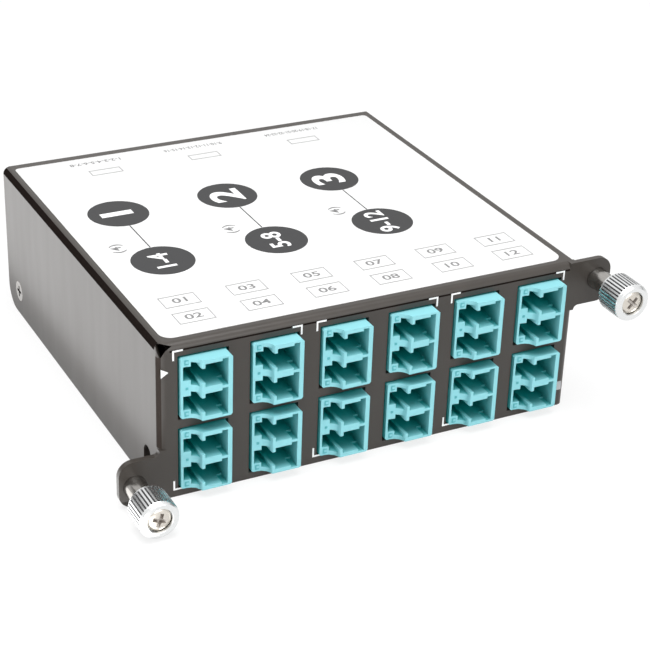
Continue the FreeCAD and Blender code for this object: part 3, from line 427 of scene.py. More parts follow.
NICKEL = finish("warm_nickel", (0.66, 0.62, 0.56), 0.27, metallic=1.0, mottle=0.10, mottle_scale=900.0,
                grain=0.3)
# painted shade: darker, rougher metal for the bottoms of the knobs' grooves
GROOVE = finish("groove_painted_shade", (0.32, 0.32, 0.325), 0.50, metallic=1.0, mottle=0.15, mottle_scale=600.0)
TURNED = finish("turned_steel", (0.40, 0.385, 0.365), 0.20, metallic=1.0, mottle=0.06, grain=0.04)
# painted shade: darker metal for the screws' cross recesses
RECESS = finish("screw_recess_shade", (0.46, 0.43, 0.40), 0.40, metallic=1.0, mottle=0.15, mottle_scale=900.0)
STEEL = finish("spring_steel", (0.55, 0.55, 0.55), 0.3, metallic=1.0)
CERAMIC = finish("ceramic", (0.86, 0.85, 0.80), 0.25, mottle=0.02)
print("finishes:", len(bpy.data.materials))

# %% [markdown]
# ## Dress the solid pieces
#
# A solid piece whose form is right only needs its material. The finish is found from the start or
# the end of its name, so that all the sleeves or plugs are done by one line.

# %% Assign finishes by name
STARTS = {
    "cover": PAINT, "base_tray": PAINT, "adapter_bracket": PAINT, "top_label": FILM,
    "sleeve_pair": CERAMIC, "harness_plugs": PLUG, "fibre_legs": JACKET,
    "rear_adapter": BLACK, "rear_plug": PLUG, "side_screws": TURNED,
}
ENDINGS = {"_retainer": TURNED, "_knob": CHROME, "_screw": NICKEL, "_spring": STEEL}


def finish_of(name):
    """The finish of a solid piece, from the end or the start of its name."""
    found = [material for ending, material in ENDINGS.items() if name.endswith(ending)]
    found += [material for start, material in STARTS.items() if name.startswith(start)]
    return (found + [AQUA])[0]


for name, node in NODES.items():
    node.data.materials.clear()
    node.data.materials.append(finish_of(name))
print("dressed", len(NODES), "solid pieces")

# %% [markdown]
# ## Finished pieces
#
# A piece is shaped as a bmesh, with its place already in its points, so its object can sit at the
# origin, unturned and unscaled.

# %% Keep a finished piece
SMOOTH_UNDER = 35.0


def keep(shape, name, material, body="housing", smooth=SMOOTH_UNDER):
    """Make a finished bmesh an object at the origin that rides on a body."""
    mesh = bpy.data.meshes.new(name)
    shape.to_mesh(mesh)
    shape.free()
    mesh.materials.append(material)
    for face in mesh.polygons:
        face.use_smooth = True
    mesh.set_sharp_from_angle(angle=math.radians(smooth))
    piece = bpy.data.objects.new(name, mesh)
    bpy.context.collection.objects.link(piece)
    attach(piece, body)
    return piece


print("edges sharper than", SMOOTH_UNDER, "degrees stay sharp, unless a piece asks otherwise")

# %% [markdown]
# ## Moulded and folded edges
#
# No real edge is perfectly sharp: a moulding has a small radius and painted sheet has a soft rim,
# and both catch a thin line of light. The solid model's mesh is left alone. A copy of it has its
# doubled points merged and its flat faces joined, and a bevel rounds what is left.
#
# Beside thin bevels, smooth shading bends the light across a broad flat face and leaves streaks on
# it. A Weighted Normal modifier lets the largest face at each point set the direction there, so
# the broad faces look flat again and only the bevels are shaded round.

# %% Softened copies
MERGE_WITHIN = 0.002 * MM
FLAT_WITHIN = 1.0
SHARP_FROM = 40.0
EDGE_SEGMENTS = 2


def merged_copy(node):
    """A closed copy of a solid piece, with its flat faces joined."""
    shape = bmesh.new()
    shape.from_mesh(NODES[node].data)
    bmesh.ops.remove_doubles(shape, verts=shape.verts, dist=MERGE_WITHIN)
    bmesh.ops.dissolve_limit(shape, angle_limit=math.radians(FLAT_WITHIN), verts=shape.verts,
                             edges=shape.edges)
    return shape


def sharp_edges(shape, degrees):
    """The edges where two faces meet at more than an angle."""
    limit = math.radians(degrees)
    return [edge for edge in shape.edges
            if len(edge.link_faces) == 2 and edge.calc_face_angle(0) > limit]


def soften(node, radius, reshape=None):
    """A copy of a solid piece with its sharp edges rounded, which stands for it."""
    shape = merged_copy(node)
    if reshape:
        reshape(shape)
    bmesh.ops.bevel(shape, geom=sharp_edges(shape, SHARP_FROM), offset=radius,
                    segments=EDGE_SEGMENTS, profile=0.5, affect="EDGES", clamp_overlap=True,
                    material=-1)
    piece = keep(shape, node + "_softened", finish_of(node))
    piece.modifiers.new("broad_faces_flat", "WEIGHTED_NORMAL").keep_sharp = True
    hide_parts(node)
    return piece


print("edges sharper than", SHARP_FROM, "degrees will be rounded")

# %% [markdown]
# The twelve aqua adapters are injection moulded, and their corners have a radius of about a tenth
# of a millimetre. The black rear adapters are made the same way, with a slightly larger one. The
# sheet's cut edges are rounded by their coat of paint. The right fold is bent tighter than the
# others, so its points are moved out before the cover is bevelled.

# %% Soften the mouldings and the sheet
ADAPTER_EDGE = 0.09 * MM
REAR_ADAPTER_EDGE = 0.15 * MM
COVER_EDGE = 0.14 * MM
TRAY_EDGE = 0.12 * MM
ON_FOLD_WITHIN = 0.05 * MM
PAST_PANEL_FOLD = 0.9 * FOLD_RADIUS
TIGHTEST = 1.28 * FOLD_RADIUS


def tighten_right_fold(shape):
    """Push the outside of the right fold out, towards the square corner it is nearly bent to."""
    middle = Vector((-LEFT_SIDE_X - FOLD_RADIUS, 0, TOP_Z - FOLD_RADIUS))
    for point in shape.verts:
        out = Vector((point.co.x - middle.x, 0, point.co.z - middle.z))
        on_fold = out.x > 0 and out.z > 0 and abs(out.length - FOLD_RADIUS) < ON_FOLD_WITHIN
        if on_fold and point.co.y > PANEL_Y + PAST_PANEL_FOLD:
            square = FOLD_RADIUS * out.length / max(out.x, out.z)
            out = out.normalized() * min(square, TIGHTEST)
            point.co.x, point.co.z = middle.x + out.x, middle.z + out.z


for name in ADAPTERS:
    soften(name, ADAPTER_EDGE)
for name in REAR_ADAPTERS:
    soften(name, REAR_ADAPTER_EDGE)
soften("cover", COVER_EDGE, reshape=tighten_right_fold)
soften("base_tray", TRAY_EDGE)
print("softened", len(ADAPTERS) + len(REAR_ADAPTERS) + 2, "pieces")

# %% [markdown]
# ## Marks moulded in the adapters
#
# Each adapter carries small raised squares at the top and bottom of its set-back flat, left by the
# mould's inserts, and a smaller one between them. Each square is a frame of four shallow bars, and
# the frames of an adapter are one piece. A mark is given by how far across and up it stands and by
# its side, in millimetres from the adapter's lower left corner.

# %% Moulded marks
HALF_ADAPTER = 4.825 * MM
FLAT_BACK = 2.1 * MM
MARK_SUNK = 0.01 * MM
MARK_HEIGHT = 0.12 * MM
MARK_LINE = 0.20 * MM
MARKS = ((0.75, 0.95, 1.0), (0.75, 11.9, 1.0), (1.0, 6.35, 0.5))


def add_block(shape, low, high):
    """A block between two corners, added to a bmesh."""
    low, high = Vector(low), Vector(high)
    place = Matrix.Translation((low + high) / 2) @ Matrix.Diagonal((*(high - low), 1))
    return bmesh.ops.create_cube(shape, size=1.0, matrix=place)["verts"]


def framed_square(shape, corner, side, line, depth):
    """Four thin bars round a square that stands on a face towards -Y."""
    x, y, z = corner
    bars = (
        ((x, z), (x + side, z + line)),
        ((x, z + side - line), (x + side, z + side)),
        ((x, z + line), (x + line, z + side - line)),
        ((x + side - line, z + line), (x + side, z + side - line)),
    )
    for (x0, z0), (x1, z1) in bars:
        add_block(shape, (x0, y - depth, z0), (x1, y, z1))


def adapter_marks(name):
    """The marks of one adapter, a hair into its flat so that no gap shows."""
    low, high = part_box(name)
    left = (low.x + high.x) / 2 - HALF_ADAPTER
    shape = bmesh.new()
    for across, up, side in MARKS:
        corner = (left + across * MM, low.y + FLAT_BACK + MARK_SUNK, low.z + (up - side / 2) * MM)
        framed_square(shape, corner, side * MM, MARK_LINE, MARK_HEIGHT)
    # the marks are a darker aqua: painted shade along their fine edges
    return keep(shape, name + "_marks", MARK_SHADE_AQUA)


for name in ADAPTERS:
    adapter_marks(name)
print("marks on", len(ADAPTERS), "adapters")

# %% [markdown]
# ## The knurled knobs
#
# A knob is turned from brass or steel bar, knurled with a straight wheel and plated bright. Its
# grip is a ring of 36 sharp ridges between two smooth rims, and its front is a broad flat ring
# round a recess for the screw. A profile is spun in small steps, four to a ridge, and then every
# fourth line of points is pressed in to make the grooves.

# %% Spin a profile
KNURLS = 36
LINES_PER_KNURL = 4
STEPS = KNURLS * LINES_PER_KNURL
SEAM_WITHIN = 0.001 * MM


def spin_profile(profile, axis_place, steps):
    """A closed body of turning from (radius, y) points about an axis along Y."""
    shape = bmesh.new()
    points = [shape.verts.new((radius, along, 0)) for radius, along in profile]
    edges = [shape.edges.new((here, there)) for here, there in zip(points, points[1:] + points[:1])]
    bmesh.ops.spin(shape, geom=points + edges, cent=(0, 0, 0), axis=(0, 1, 0), dvec=(0, 0, 0),
                   angle=math.tau, steps=steps, use_merge=True, use_duplicate=False)
    bmesh.ops.remove_doubles(shape, verts=shape.verts, dist=SEAM_WITHIN)
    bmesh.ops.recalc_face_normals(shape, faces=shape.faces)
    bmesh.ops.translate(shape, verts=shape.verts, vec=axis_place)
    return shape


def axis_of(side):
    """The thumbscrew's axis: the middle of its knob, with y left at 0."""
    low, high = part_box(side + "_knob")
    return Vector(((low.x + high.x) / 2, 0, (low.z + high.z) / 2))


print("steps round a knob:", STEPS, "on the axis", tuple(round(value, 4) for value in axis_of("left")))

# %% [markdown]
# The outline is measured from the knob's back, which faces the panel. It runs round the back rim,
# along the grip, over the rounded front rim, down in the recess, through the screw's hole and back
# out of the bore. The grooves are pressed in where the outline has its full radius, so both rims
# stay smooth. The faces at the bottom of a groove get a darker metal: painted shade in the grooves.

# %% Knurled knobs
GRIP_RADIUS = 3.985 * MM
GROOVE_RADIUS = 3.55 * MM
BORE, BORE_DEPTH = 2.45, 4.3
RECESS_RADIUS, RECESS_DEPTH = 2.50, 1.2
SCREW_HOLE = 1.17


def knob_outline(length):
    """Radius and distance from the back of a knob's outline, in millimetres."""
    return [
        (BORE, 0), (3.62, 0), (3.80, 0.12), (3.80, 0.42), (4.00, 0.50),
        (4.00, length - 0.80), (3.97, length - 0.60), (3.86, length - 0.36), (3.62, length - 0.12),
        (3.34, length), (2.62, length), (RECESS_RADIUS, length - 0.12),
        (RECESS_RADIUS, length - RECESS_DEPTH), (SCREW_HOLE, length - RECESS_DEPTH),
        (SCREW_HOLE, BORE_DEPTH), (BORE, BORE_DEPTH),
    ]


def press_grooves(shape, centre):
    """Pull every fourth line of the grip's points in towards the axis."""
    for point in shape.verts:
        out = Vector((point.co.x - centre.x, 0, point.co.z - centre.z))
        if out.length < GRIP_RADIUS:
            continue
        step = round(math.atan2(out.z, out.x) / math.tau * STEPS)
        if step % LINES_PER_KNURL == 0:
            out = out.normalized() * GROOVE_RADIUS
            point.co.x, point.co.z = centre.x + out.x, centre.z + out.z
            # the groove faces take the second, darker metal: painted shade in the grooves
            for face in point.link_faces:
                face.material_index = 1


def add_knob(side):
    """The knob of one side, spun, grooved and plated."""
    low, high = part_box(side + "_knob")
    centre = axis_of(side)
    length = (high.y - low.y) / MM
    profile = [(radius * MM, high.y - along * MM) for radius, along in knob_outline(length)]
    shape = spin_profile(profile, centre, STEPS)
    press_grooves(shape, centre)
    bmesh.ops.recalc_face_normals(shape, faces=shape.faces)
    knob = keep(shape, side + "_knurled_knob", CHROME, side + "_thumbscrew", 20.0)
    # the darker metal is painted shade for the grooves
    knob.data.materials.append(GROOVE)
    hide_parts(side + "_knob")
    return knob


for side in ("left", "right"):
    add_knob(side)
print("knurls on each knob:", KNURLS)

# %% [markdown]
# ## The cross-headed screws
#
# Each knob is held by a screw with a domed head, warm in colour beside the bright knob. The dome is
# spun, and two wedges that cross each other make its recess, each by a Boolean. A wedge is a cube
# whose far end is drawn narrower and shorter than its near end, as the punch for such a head is.

# %% Wedges that cut a cross
ARM_NEAR = (4.1 * MM, -0.5 * MM, 1.10 * MM)
ARM_FAR = (1.7 * MM, 0.75 * MM, 0.42 * MM)


def apply_cut(piece, cutter):
    """Cut one mesh object out of another and keep the result as a plain mesh."""
    modifier = piece.modifiers.new("cut", "BOOLEAN")
    modifier.operation = "DIFFERENCE"
    modifier.solver = "EXACT"
    modifier.object = cutter
    result = bpy.data.meshes.new_from_object(piece.evaluated_get(bpy.context.evaluated_depsgraph_get()))
    piece.modifiers.clear()
    piece.data = result
    bpy.data.objects.remove(cutter)


def loose(shape, name):
    """A bare object from a bmesh, for use as a cutter."""
    mesh = bpy.data.meshes.new(name)
    shape.to_mesh(mesh)
    shape.free()
    item = bpy.data.objects.new(name, mesh)
    bpy.context.collection.objects.link(item)
    return item


def cross_arm(centre, face_y, turn):
    """One wedge of the cross, narrower and shorter towards its deep end."""
    shape = bmesh.new()
    for point in bmesh.ops.create_cube(shape, size=1.0)["verts"]:
        wide, along, tall = ARM_FAR if point.co.y > 0 else ARM_NEAR
        point.co = (point.co.x * wide, along, point.co.z * tall)
    # the cut faces take the screw's second, darker metal: painted shade in the recess
    for face in shape.faces:
        face.material_index = 1
    bmesh.ops.rotate(shape, verts=shape.verts, cent=(0, 0, 0), matrix=Matrix.Rotation(turn, 3, "Y"))
    bmesh.ops.translate(shape, verts=shape.verts, vec=(centre.x, face_y, centre.z))
    return loose(shape, "cross_arm")


print("a cross is", round(ARM_NEAR[0] / MM, 2), "mm wide and", round(ARM_FAR[1] / MM, 2), "mm deep")

# %% [markdown]
# The screw's outline starts in the middle of its head. Behind the head comes the thin neck that
# slides in the floor of the sleeve, and then the root of the thread. The two heads are turned by
# different angles, because nobody lines up a pair of screws.

# %% Domed heads with a cross recess
NECK = 1.14
ROOT = 1.26
SCREW_STEPS = 64
SCREW_SHARP = 30.0
QUARTER = math.pi / 2
HEAD_TURNS = {"left": 0.35, "right": 0.75}


def screw_outline(low, high):
    """Radius and y of the screw: a domed head, its neck and the root of its thread."""
    reach = (high.y - low.y) / MM
    outline = [
        (0, 0), (0.7, 0.03), (1.3, 0.10), (1.85, 0.22), (2.20, 0.38), (2.38, 0.56), (2.40, 0.70),
        (2.40, 1.03), (NECK, 1.05), (NECK, reach - 2.0), (ROOT, reach - 1.96), (ROOT, reach - 0.25),
        (1.0, reach), (0, reach),
    ]
    return [(radius * MM, low.y + along * MM) for radius, along in outline]


def add_screw(side, turn):
    """The screw of one side, with its cross turned by an angle."""
    low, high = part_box(side + "_screw")
    centre = axis_of(side)
    shape = spin_profile(screw_outline(low, high), centre, SCREW_STEPS)
    screw = keep(shape, side + "_cross_screw", NICKEL, side + "_thumbscrew",
                 SCREW_SHARP)
    # the darker metal is painted shade in the cross recess
    screw.data.materials.append(RECESS)
    for arm in (0, 1):
        apply_cut(screw, cross_arm(centre, low.y, turn + arm * QUARTER))
    screw.data.set_sharp_from_angle(angle=math.radians(SCREW_SHARP))
    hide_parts(side + "_screw")
    return screw


for side, turn in HEAD_TURNS.items():
    add_screw(side, turn)

# %% [markdown]
# The thread is what holds the cassette in its panel. A blunt wedge is spun about the axis while it
# moves along it, which leaves a helix: that is what spin's dvec argument does. The foot of the
# wedge lies inside the screw's root, so no gap shows, and the spin leaves a face at both ends, so
# the ridge is closed.

# %% Threads
PITCH = 0.5 * MM
THREAD_TURNS = 3
THREAD_STEPS = 32
THREAD_END = 0.30 * MM
THREAD_FOOT, THREAD_CREST = 1.22, 1.485


def add_thread(side):
    """The ridge of one side's thread, on the root of its screw."""
    _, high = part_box(side + "_screw")
    start = high.y - THREAD_END - PITCH * THREAD_TURNS
    shape = bmesh.new()
    section = [(THREAD_FOOT, -0.22), (THREAD_CREST, -0.03), (THREAD_CREST, 0.03), (THREAD_FOOT, 0.22)]
    points = [shape.verts.new((radius * MM, start + along * MM, 0)) for radius, along in section]
    face = shape.faces.new(points)
    bmesh.ops.spin(shape, geom=[face, *face.edges, *points], cent=(0, 0, 0), axis=(0, 1, 0),
                   dvec=(0, PITCH / THREAD_STEPS, 0), angle=math.tau * THREAD_TURNS,
                   steps=THREAD_STEPS * THREAD_TURNS, use_merge=False, use_duplicate=False)
    bmesh.ops.recalc_face_normals(shape, faces=shape.faces)
    bmesh.ops.translate(shape, verts=shape.verts, vec=axis_of(side))
    return keep(shape, side + "_thread", NICKEL, side + "_thumbscrew", SCREW_SHARP)


for side in ("left", "right"):
    add_thread(side)
print("thread pitch in millimetres:", PITCH / MM)

# %% [markdown]
# ## The retainer sleeves
#
# Each sleeve is pressed in its ear. It is drawn a little wider where it leaves the ear, and its
# front rim is rolled, which shows as a bright line beside the knob.

# %% Retainer sleeves
FLOOR_HOLE = 1.27
SLEEVE_BORE = 1.96
SLEEVE = 2.20
SLEEVE_ROOT = 2.33
SLEEVE_RIM = 2.34
SLEEVE_STEPS = 72


def add_retainer(side):
    """The sleeve of one side: a cup whose floor, in the ear, has a hole for the screw's neck."""
    low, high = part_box(side + "_retainer")
    front, ear, back = low.y / MM, PANEL_Y / MM, high.y / MM
    outline = [
        (FLOOR_HOLE, back), (SLEEVE_ROOT, back), (SLEEVE_ROOT, ear), (SLEEVE_RIM, ear - 0.55),
        (SLEEVE, ear - 1.1), (SLEEVE, front + 0.25), (SLEEVE_RIM, front + 0.12),
        (SLEEVE_RIM, front + 0.02), (2.28, front), (SLEEVE_BORE, front), (SLEEVE_BORE, ear),
        (FLOOR_HOLE, ear),
    ]
    profile = [(radius * MM, along * MM) for radius, along in outline]
    shape = spin_profile(profile, axis_of(side), SLEEVE_STEPS)
    sleeve = keep(shape, side + "_sleeve", TURNED, smooth=40.0)
    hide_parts(side + "_retainer")
    return sleeve


for side in ("left", "right"):
    add_retainer(side)
print("sleeves pressed in at y", round(PANEL_Y, 4))

# %% [markdown]
# ## The return springs
#
# A spring in each knob pushes it away from the panel. Round wire is spun into a helix, as the
# thread was.

# %% Springs
COILS = 7
COIL_STEPS = 28
WIRE = 0.15 * MM
WIRE_SIDES = 8
COIL_RADIUS = 1.55 * MM


def add_spring(side):
    """The spring of one side, which shortens as its thumbscrew is pressed."""
    low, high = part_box(side + "_spring")
    run = high.y - low.y - 2 * WIRE
    shape = bmesh.new()
    section = bmesh.ops.create_circle(shape, cap_ends=True, segments=WIRE_SIDES, radius=WIRE)["verts"]
    bmesh.ops.translate(shape, verts=section, vec=(COIL_RADIUS, low.y + WIRE, 0))
    steps = COILS * COIL_STEPS
    bmesh.ops.spin(shape, geom=shape.faces[:] + shape.edges[:] + shape.verts[:], cent=(0, 0, 0),
                   axis=(0, 1, 0), dvec=(0, run / steps, 0), angle=math.tau * COILS, steps=steps,
                   use_merge=False, use_duplicate=False)
    bmesh.ops.recalc_face_normals(shape, faces=shape.faces)
    bmesh.ops.translate(shape, verts=shape.verts, vec=axis_of(side))
    spring = keep(shape, side + "_coil", STEEL, side + "_spring_body", 60.0)
    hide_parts(side + "_spring")
    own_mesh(spring)
    return spring


for side in ("left", "right"):
    add_spring(side)
print("coils in each spring:", COILS)

# %% [markdown]
# ## The printed panel
#
# The front panel's print is white ink, with corner marks round each group of four adapters. Ink is
# a thin layer, so each mark is a plate two hundredths of a millimetre thick on the paint. Lengths
# on the panel are in millimetres along X and Z.

# %% Corner marks
INK = 0.02 * MM
PANEL_INK = PANEL_Y - INK
MARK_ARM = 2.1
CORNER_LINE = 0.36
GROUP_LEFTS = (-43.0, -13.45, 16.1)
GROUP_WIDTH = 26.6
MARK_LOW, MARK_HIGH = 1.45, 31.75


def panel_bar(shape, x0, z0, x1, z1):
    """A bar of ink on the panel, in millimetres along X and Z."""
    add_block(shape, (x0 * MM, PANEL_INK, z0 * MM), (x1 * MM, PANEL_Y, z1 * MM))


def corner_mark(shape, x, z, right, up):
    """Two bars that meet at a corner and run inwards from it."""
    x_end, z_end = x + right * MARK_ARM, z + up * MARK_ARM
    x_in, z_in = x + right * CORNER_LINE, z + up * CORNER_LINE
    panel_bar(shape, min(x, x_end), min(z, z_in), max(x, x_end), max(z, z_in))
    panel_bar(shape, min(x, x_in), min(z_in, z_end), max(x, x_in), max(z_in, z_end))


def add_corner_marks():
    """Four corner marks round each group, as one piece."""
    shape = bmesh.new()
    for left in GROUP_LEFTS:
        for x, right in ((left, 1), (left + GROUP_WIDTH, -1)):
            corner_mark(shape, x, MARK_LOW, right, 1)
            corner_mark(shape, x, MARK_HIGH, right, -1)
    return keep(shape, "corner_marks", WHITE_INK)


add_corner_marks()
print("corner marks round", len(GROUP_LEFTS), "groups")

# %% [markdown]
# A triangle shows where counting starts, and a small pale square stands at the other end. A cone
# with three sides and two equal ends is a three-sided plate, and it only has to be stood up.

# %% Triangle and square
TRIANGLE_SIZE = (1.0, 1.1)
TRIANGLE_PLACE = (-44.8, 27.4)
SQUARE_LOW, SQUARE_HIGH = (43.6, 3.66), (44.65, 5.7)


def add_triangle():
    """A three-sided plate whose point aims right, at the first adapter."""
    shape = bmesh.new()
    wide, tall = TRIANGLE_SIZE
    x, z = TRIANGLE_PLACE
    plate = bmesh.ops.create_cone(shape, cap_ends=True, segments=3, radius1=1.0, radius2=1.0,
                                  depth=1.0)["verts"]
    bmesh.ops.rotate(shape, verts=plate, cent=(0, 0, 0), matrix=Matrix.Rotation(-QUARTER, 3, "Z"))
    bmesh.ops.rotate(shape, verts=plate, cent=(0, 0, 0), matrix=Matrix.Rotation(QUARTER, 3, "X"))
    bmesh.ops.scale(shape, verts=plate, vec=(wide * MM, INK, tall * MM))
    bmesh.ops.translate(shape, verts=plate, vec=(x * MM, PANEL_Y - INK / 2, z * MM))
    return keep(shape, "start_triangle", WHITE_INK)


def add_square():
    """The small square, in a greyer ink."""
    shape = bmesh.new()
    panel_bar(shape, *SQUARE_LOW, *SQUARE_HIGH)
    return keep(shape, "pale_square", GREY_INK)


add_triangle()
add_square()
print("triangle at", TRIANGLE_PLACE, "and square at", SQUARE_LOW)

# %% [markdown]
# ## Painted shade along the folds
#
# The folds show dark reflections, and that shade is painted on them: almost black along the left
# fold, a fine dark line below the front one, and a darker matt coat without sheen on the upright
# fold between panel and side. Each line is a very thin strip bent round its fold: a narrow section
# is spun round an axis along Y, and a turn then lays that axis along the fold.

# %% Painted fold shade
STRIP = 0.012 * MM
STRIP_STEPS = 14
ALONG_X = Matrix.Rotation(QUARTER, 3, "Z")
ALONG_Y = Matrix.Identity(3)
ALONG_Z = Matrix.Rotation(QUARTER, 3, "X")


def fold_strip(name, length, first, last, turn, place, material):
    """A thin strip round an axis along Y, from one angle above -X to another, then turned."""
    shape = bmesh.new()
    bmesh.ops.create_grid(shape, x_segments=1, y_segments=1, size=0.5)
    bmesh.ops.scale(shape, verts=shape.verts, vec=(STRIP, length, 1))
    bmesh.ops.translate(shape, verts=shape.verts, vec=(-FOLD_RADIUS - STRIP / 2, 0, 0))
    bmesh.ops.rotate(shape, verts=shape.verts, cent=(0, 0, 0),
                     matrix=Matrix.Rotation(math.radians(first), 3, "Y"))
    bmesh.ops.spin(shape, geom=shape.faces[:] + shape.edges[:] + shape.verts[:], cent=(0, 0, 0),
                   axis=(0, 1, 0), dvec=(0, 0, 0), angle=math.radians(last - first),
                   steps=STRIP_STEPS, use_merge=False, use_duplicate=False)
    bmesh.ops.recalc_face_normals(shape, faces=shape.faces)
    bmesh.ops.rotate(shape, verts=shape.verts, cent=(0, 0, 0), matrix=turn)
    bmesh.ops.translate(shape, verts=shape.verts, vec=place)
    return keep(shape, name, material)


fold_x, fold_y, fold_z = LEFT_SIDE_X + FOLD_RADIUS, PANEL_Y + FOLD_RADIUS, TOP_Z - FOLD_RADIUS
# painted shade: thin dark strips laid on the folds
fold_lines = [
    fold_strip("left_fold_line", 88.8 * MM, 3, 58, ALONG_Y, (fold_x, 1.1 * MM, fold_z), SHADE),
    fold_strip("front_fold_line", 87.4 * MM, 3, 15, ALONG_X, (0.2 * MM, fold_y, fold_z), SHADE),
    fold_strip("upright_fold_line", 19.4 * MM, 1, 50, ALONG_Z, (fold_x, fold_y, 20.8 * MM), FOLD_SHADE_COAT),
]
print("fold lines:", len(fold_lines))

# %% [markdown]
# ## The printed label
#
# The top carries a white film with rounded corners. It is printed with a map of the wiring: three
# dark discs behind for the multi-fibre ports, each joined by a thin line to a dark disc in front
# for the duplex ports, and an outlined box for each adapter. The words of the real print are left
# off, and plain numbers stand in for them.

# %% The film
FILM_THICK = 0.12 * MM
FILM_TOP = TOP_Z + FILM_THICK
FILM_RIM = 0.04 * MM
MID_FILM = TOP_Z + 0.05 * MM
LAYER = 0.015 * MM
INK_1 = FILM_TOP + LAYER
INK_2 = INK_1 + LAYER


def add_film():
    """The label again, thinner than in the solid model, with a fine rounded rim."""
    shape = merged_copy("top_label")
    for point in shape.verts:
        if point.co.z > MID_FILM:
            point.co.z = FILM_TOP
    rim = [edge for edge in sharp_edges(shape, 60.0)
           if all(point.co.z > MID_FILM for point in edge.verts)]
    bmesh.ops.bevel(shape, geom=rim, offset=FILM_RIM, segments=2, profile=0.5, affect="EDGES",
                    clamp_overlap=True, material=-1)
    film = keep(shape, "label_film", FILM, smooth=50.0)
    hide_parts("top_label")
    return film


add_film()
print("film top at z", round(FILM_TOP, 5))

# %% [markdown]
# Discs, frames and lines are thin plates on the film, laid out in millimetres along X and Y. A disc
# is a cone with two equal ends, and the other two are made of blocks.

# %% Discs, frames and lines
DISC_RADIUS = 6.5
DISC_SIDES = 96


def ink_disc(shape, x, y):
    """A disc of ink on the film."""
    plate = bmesh.ops.create_cone(shape, cap_ends=True, segments=DISC_SIDES, radius1=DISC_RADIUS * MM,
                                  radius2=DISC_RADIUS * MM, depth=INK_1 - FILM_TOP)["verts"]
    bmesh.ops.translate(shape, verts=plate, vec=(x * MM, y * MM, (FILM_TOP + INK_1) / 2))


def ink_bar(shape, x0, y0, x1, y1):
    """A bar of ink on the film."""
    add_block(shape, (x0 * MM, y0 * MM, FILM_TOP), (x1 * MM, y1 * MM, INK_1))


def ink_frame(shape, x0, y0, x1, y1, line):
    """Four bars of ink round a rectangle, a little heavier along X than along Y."""
    heavy = 1.5 * line
    ink_bar(shape, x0, y0, x1, y0 + heavy)
    ink_bar(shape, x0, y1 - heavy, x1, y1)
    ink_bar(shape, x0, y0 + heavy, x0 + line, y1 - heavy)
    ink_bar(shape, x1 - line, y0 + heavy, x1, y1 - heavy)


print("ink is", round(LAYER / MM, 3), "mm thick on a film of", round(FILM_THICK / MM, 3), "mm")

# %% [markdown]
# Numbers are text curves turned into meshes. The text becomes a mesh before it is placed, so that
# its place ends up in the mesh itself. A number lies between two heights: dark ones on the film,
# and white ones on a disc.

# %% Numbers
CAP_HEIGHT = 0.73


def print_number(text, x, y, height, material, low, high, turn=0.0, stretch=1.0, weight=0.0):
    """A plain number as a thin mesh, centred on a place on the film."""
    curve = bpy.data.curves.new("number", "FONT")
    curve.body = text
    curve.align_x, curve.align_y = "CENTER", "CENTER"
    curve.size = height * MM / CAP_HEIGHT
    curve.offset = weight * MM
    curve.extrude = (high - low) / 2
    source = bpy.data.objects.new("number", curve)
    bpy.context.collection.objects.link(source)
    mesh = bpy.data.meshes.new_from_object(source.evaluated_get(bpy.context.evaluated_depsgraph_get()))
    bpy.data.objects.remove(source)
    shape = bmesh.new()
    shape.from_mesh(mesh)
    bpy.data.meshes.remove(mesh)
    across = [point.co.x for point in shape.verts]
    middle = (min(across) + max(across)) / 2
    bmesh.ops.translate(shape, verts=shape.verts, vec=(-middle, 0, 0))
    place = Matrix.Translation((x * MM, y * MM, (low + high) / 2)) @ Matrix.Rotation(turn, 4, "Z")
    bmesh.ops.transform(shape, matrix=place @ Matrix.Diagonal((stretch, 1, 1, 1)), verts=shape.verts)
    bmesh.ops.recalc_face_normals(shape, faces=shape.faces)
    name = "number_" + text.replace("-", "_to_").strip("()") + "_%d_%d" % (x + 50, y + 50)
    return keep(shape, name, material)


print("a digit is", CAP_HEIGHT, "as tall as its font's size")

# %% [markdown]
# The discs come first. Those behind stand for the three multi-fibre ports, and those in front for
# the four adapters that each of them feeds. The numbers run from front to back.

# %% The wiring map
REAR_DISCS = ((-31.25, 12.3), (-6.3, 12.1), (18.2, 11.8))
FRONT_DISCS = ((-31.15, -12.2), (-6.1, -12.25), (18.4, -12.6))
LINE_END = 6.6
HALF_LINE = 0.14
COUNT_LEFT, COUNT_DOWN = 6.5, 3.8


def add_discs_and_lines():
    """Six discs as one piece and the three lines between them as another."""
    discs = bmesh.new()
    lines = bmesh.new()
    for x, y in REAR_DISCS + FRONT_DISCS:
        ink_disc(discs, x, y)
    for (x, rear_y), (_, front_y) in zip(REAR_DISCS, FRONT_DISCS):
        ink_bar(lines, x - HALF_LINE, front_y + LINE_END, x + HALF_LINE, rear_y - LINE_END)
    keep(discs, "map_discs", DARK_INK)
    keep(lines, "map_lines", DARK_INK)


def add_map_numbers():
    """A port's number on each rear disc, its adapters' on the front one, and how many between."""
    for number, ((x, y), (front_x, front_y)) in enumerate(zip(REAR_DISCS, FRONT_DISCS), 1):
        print_number(str(number), x, y, 7.0, WHITE_INK, INK_1, INK_2, QUARTER, 1.35, 0.25)
        span = "%d-%d" % (4 * number - 3, 4 * number)
        print_number(span, front_x, front_y, 4.2, WHITE_INK, INK_1, INK_2, QUARTER, 1.0, 0.12)
        print_number("(4)", x - COUNT_LEFT, (y + front_y) / 2 - COUNT_DOWN, 2.3, PALE_INK,
                     FILM_TOP, INK_1, QUARTER, 1.25, 0.04)


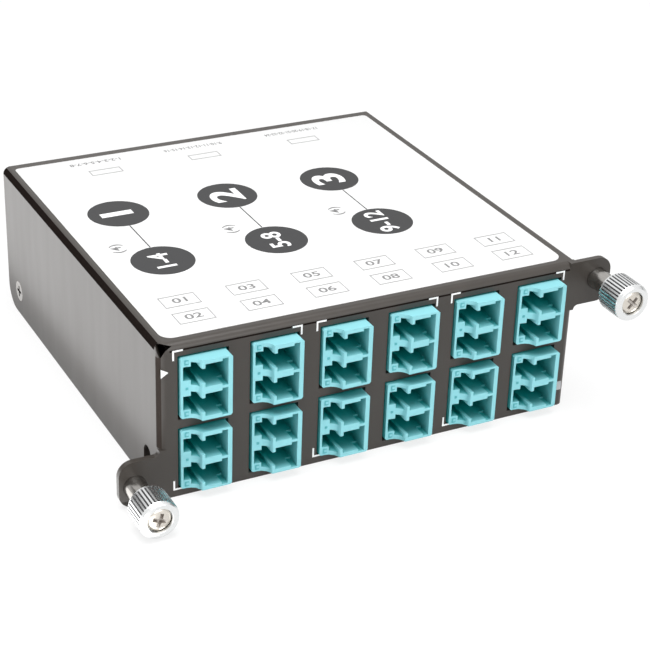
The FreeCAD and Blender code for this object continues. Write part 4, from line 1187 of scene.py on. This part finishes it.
add_discs_and_lines()
add_map_numbers()
print("discs:", len(REAR_DISCS) + len(FRONT_DISCS))

# %% [markdown]
# Twelve outlined boxes stand in two rows behind the front edge, one for each adapter. The odd
# numbers are in the row behind and the even ones in front.

# %% Boxes
COLUMNS = 6
BOX_LEFT, BOX_PITCH = -38.65, 14.09
BOX_WIDE, BOX_TALL = 7.5, 4.7
BOX_ROWS = ((-32.1, 0), (-39.1, 1))
LINE = 0.26


def add_boxes():
    """The frames of all boxes as one piece, and a number in each."""
    frames = bmesh.new()
    for column in range(COLUMNS):
        left = BOX_LEFT + BOX_PITCH * column
        for front, lower in BOX_ROWS:
            ink_frame(frames, left, front, left + BOX_WIDE, front + BOX_TALL, LINE)
            number = "%02d" % (2 * column + 1 + lower)
            print_number(number, left + BOX_WIDE / 2, front + BOX_TALL / 2, 2.0, PALE_INK,
                         FILM_TOP, INK_1, 0.0, 1.35, 0.05)
    return keep(frames, "box_frames", LINE_INK)


add_boxes()
print("boxes:", COLUMNS * len(BOX_ROWS))

# %% [markdown]
# Three small empty frames and a row of fine numbers stand at the rear edge, beside the multi-fibre
# ports. The numbers count the eight fibres of each port and are to be read from behind. The longer
# rows are squeezed, so that all three have about the same length.

# %% The rear row
REAR_FRAMES = (-29.25, -5.6, 19.3)
REAR_FRONT, REAR_BACK = 33.1, 36.0
REAR_WIDE = 7.3
COUNT_ACROSS, COUNT_Y = 3.2, 40.3
COUNT_STRETCH = (1.10, 0.82, 0.75)
FIBRES = 8


def add_rear_row():
    """The three frames as one piece, and the count of fibres behind each."""
    frames = bmesh.new()
    for group, left in enumerate(REAR_FRAMES):
        ink_frame(frames, left, REAR_FRONT, left + REAR_WIDE, REAR_BACK, LINE)
        count = "-".join(str(FIBRES * group + fibre) for fibre in range(1, FIBRES + 1))
        print_number(count, left + COUNT_ACROSS, COUNT_Y, 1.3, PALE_INK, FILM_TOP, INK_1, math.pi,
                     COUNT_STRETCH[group], 0.03)
    return keep(frames, "rear_frames", LINE_INK)


add_rear_row()
print("rear frames:", len(REAR_FRAMES))
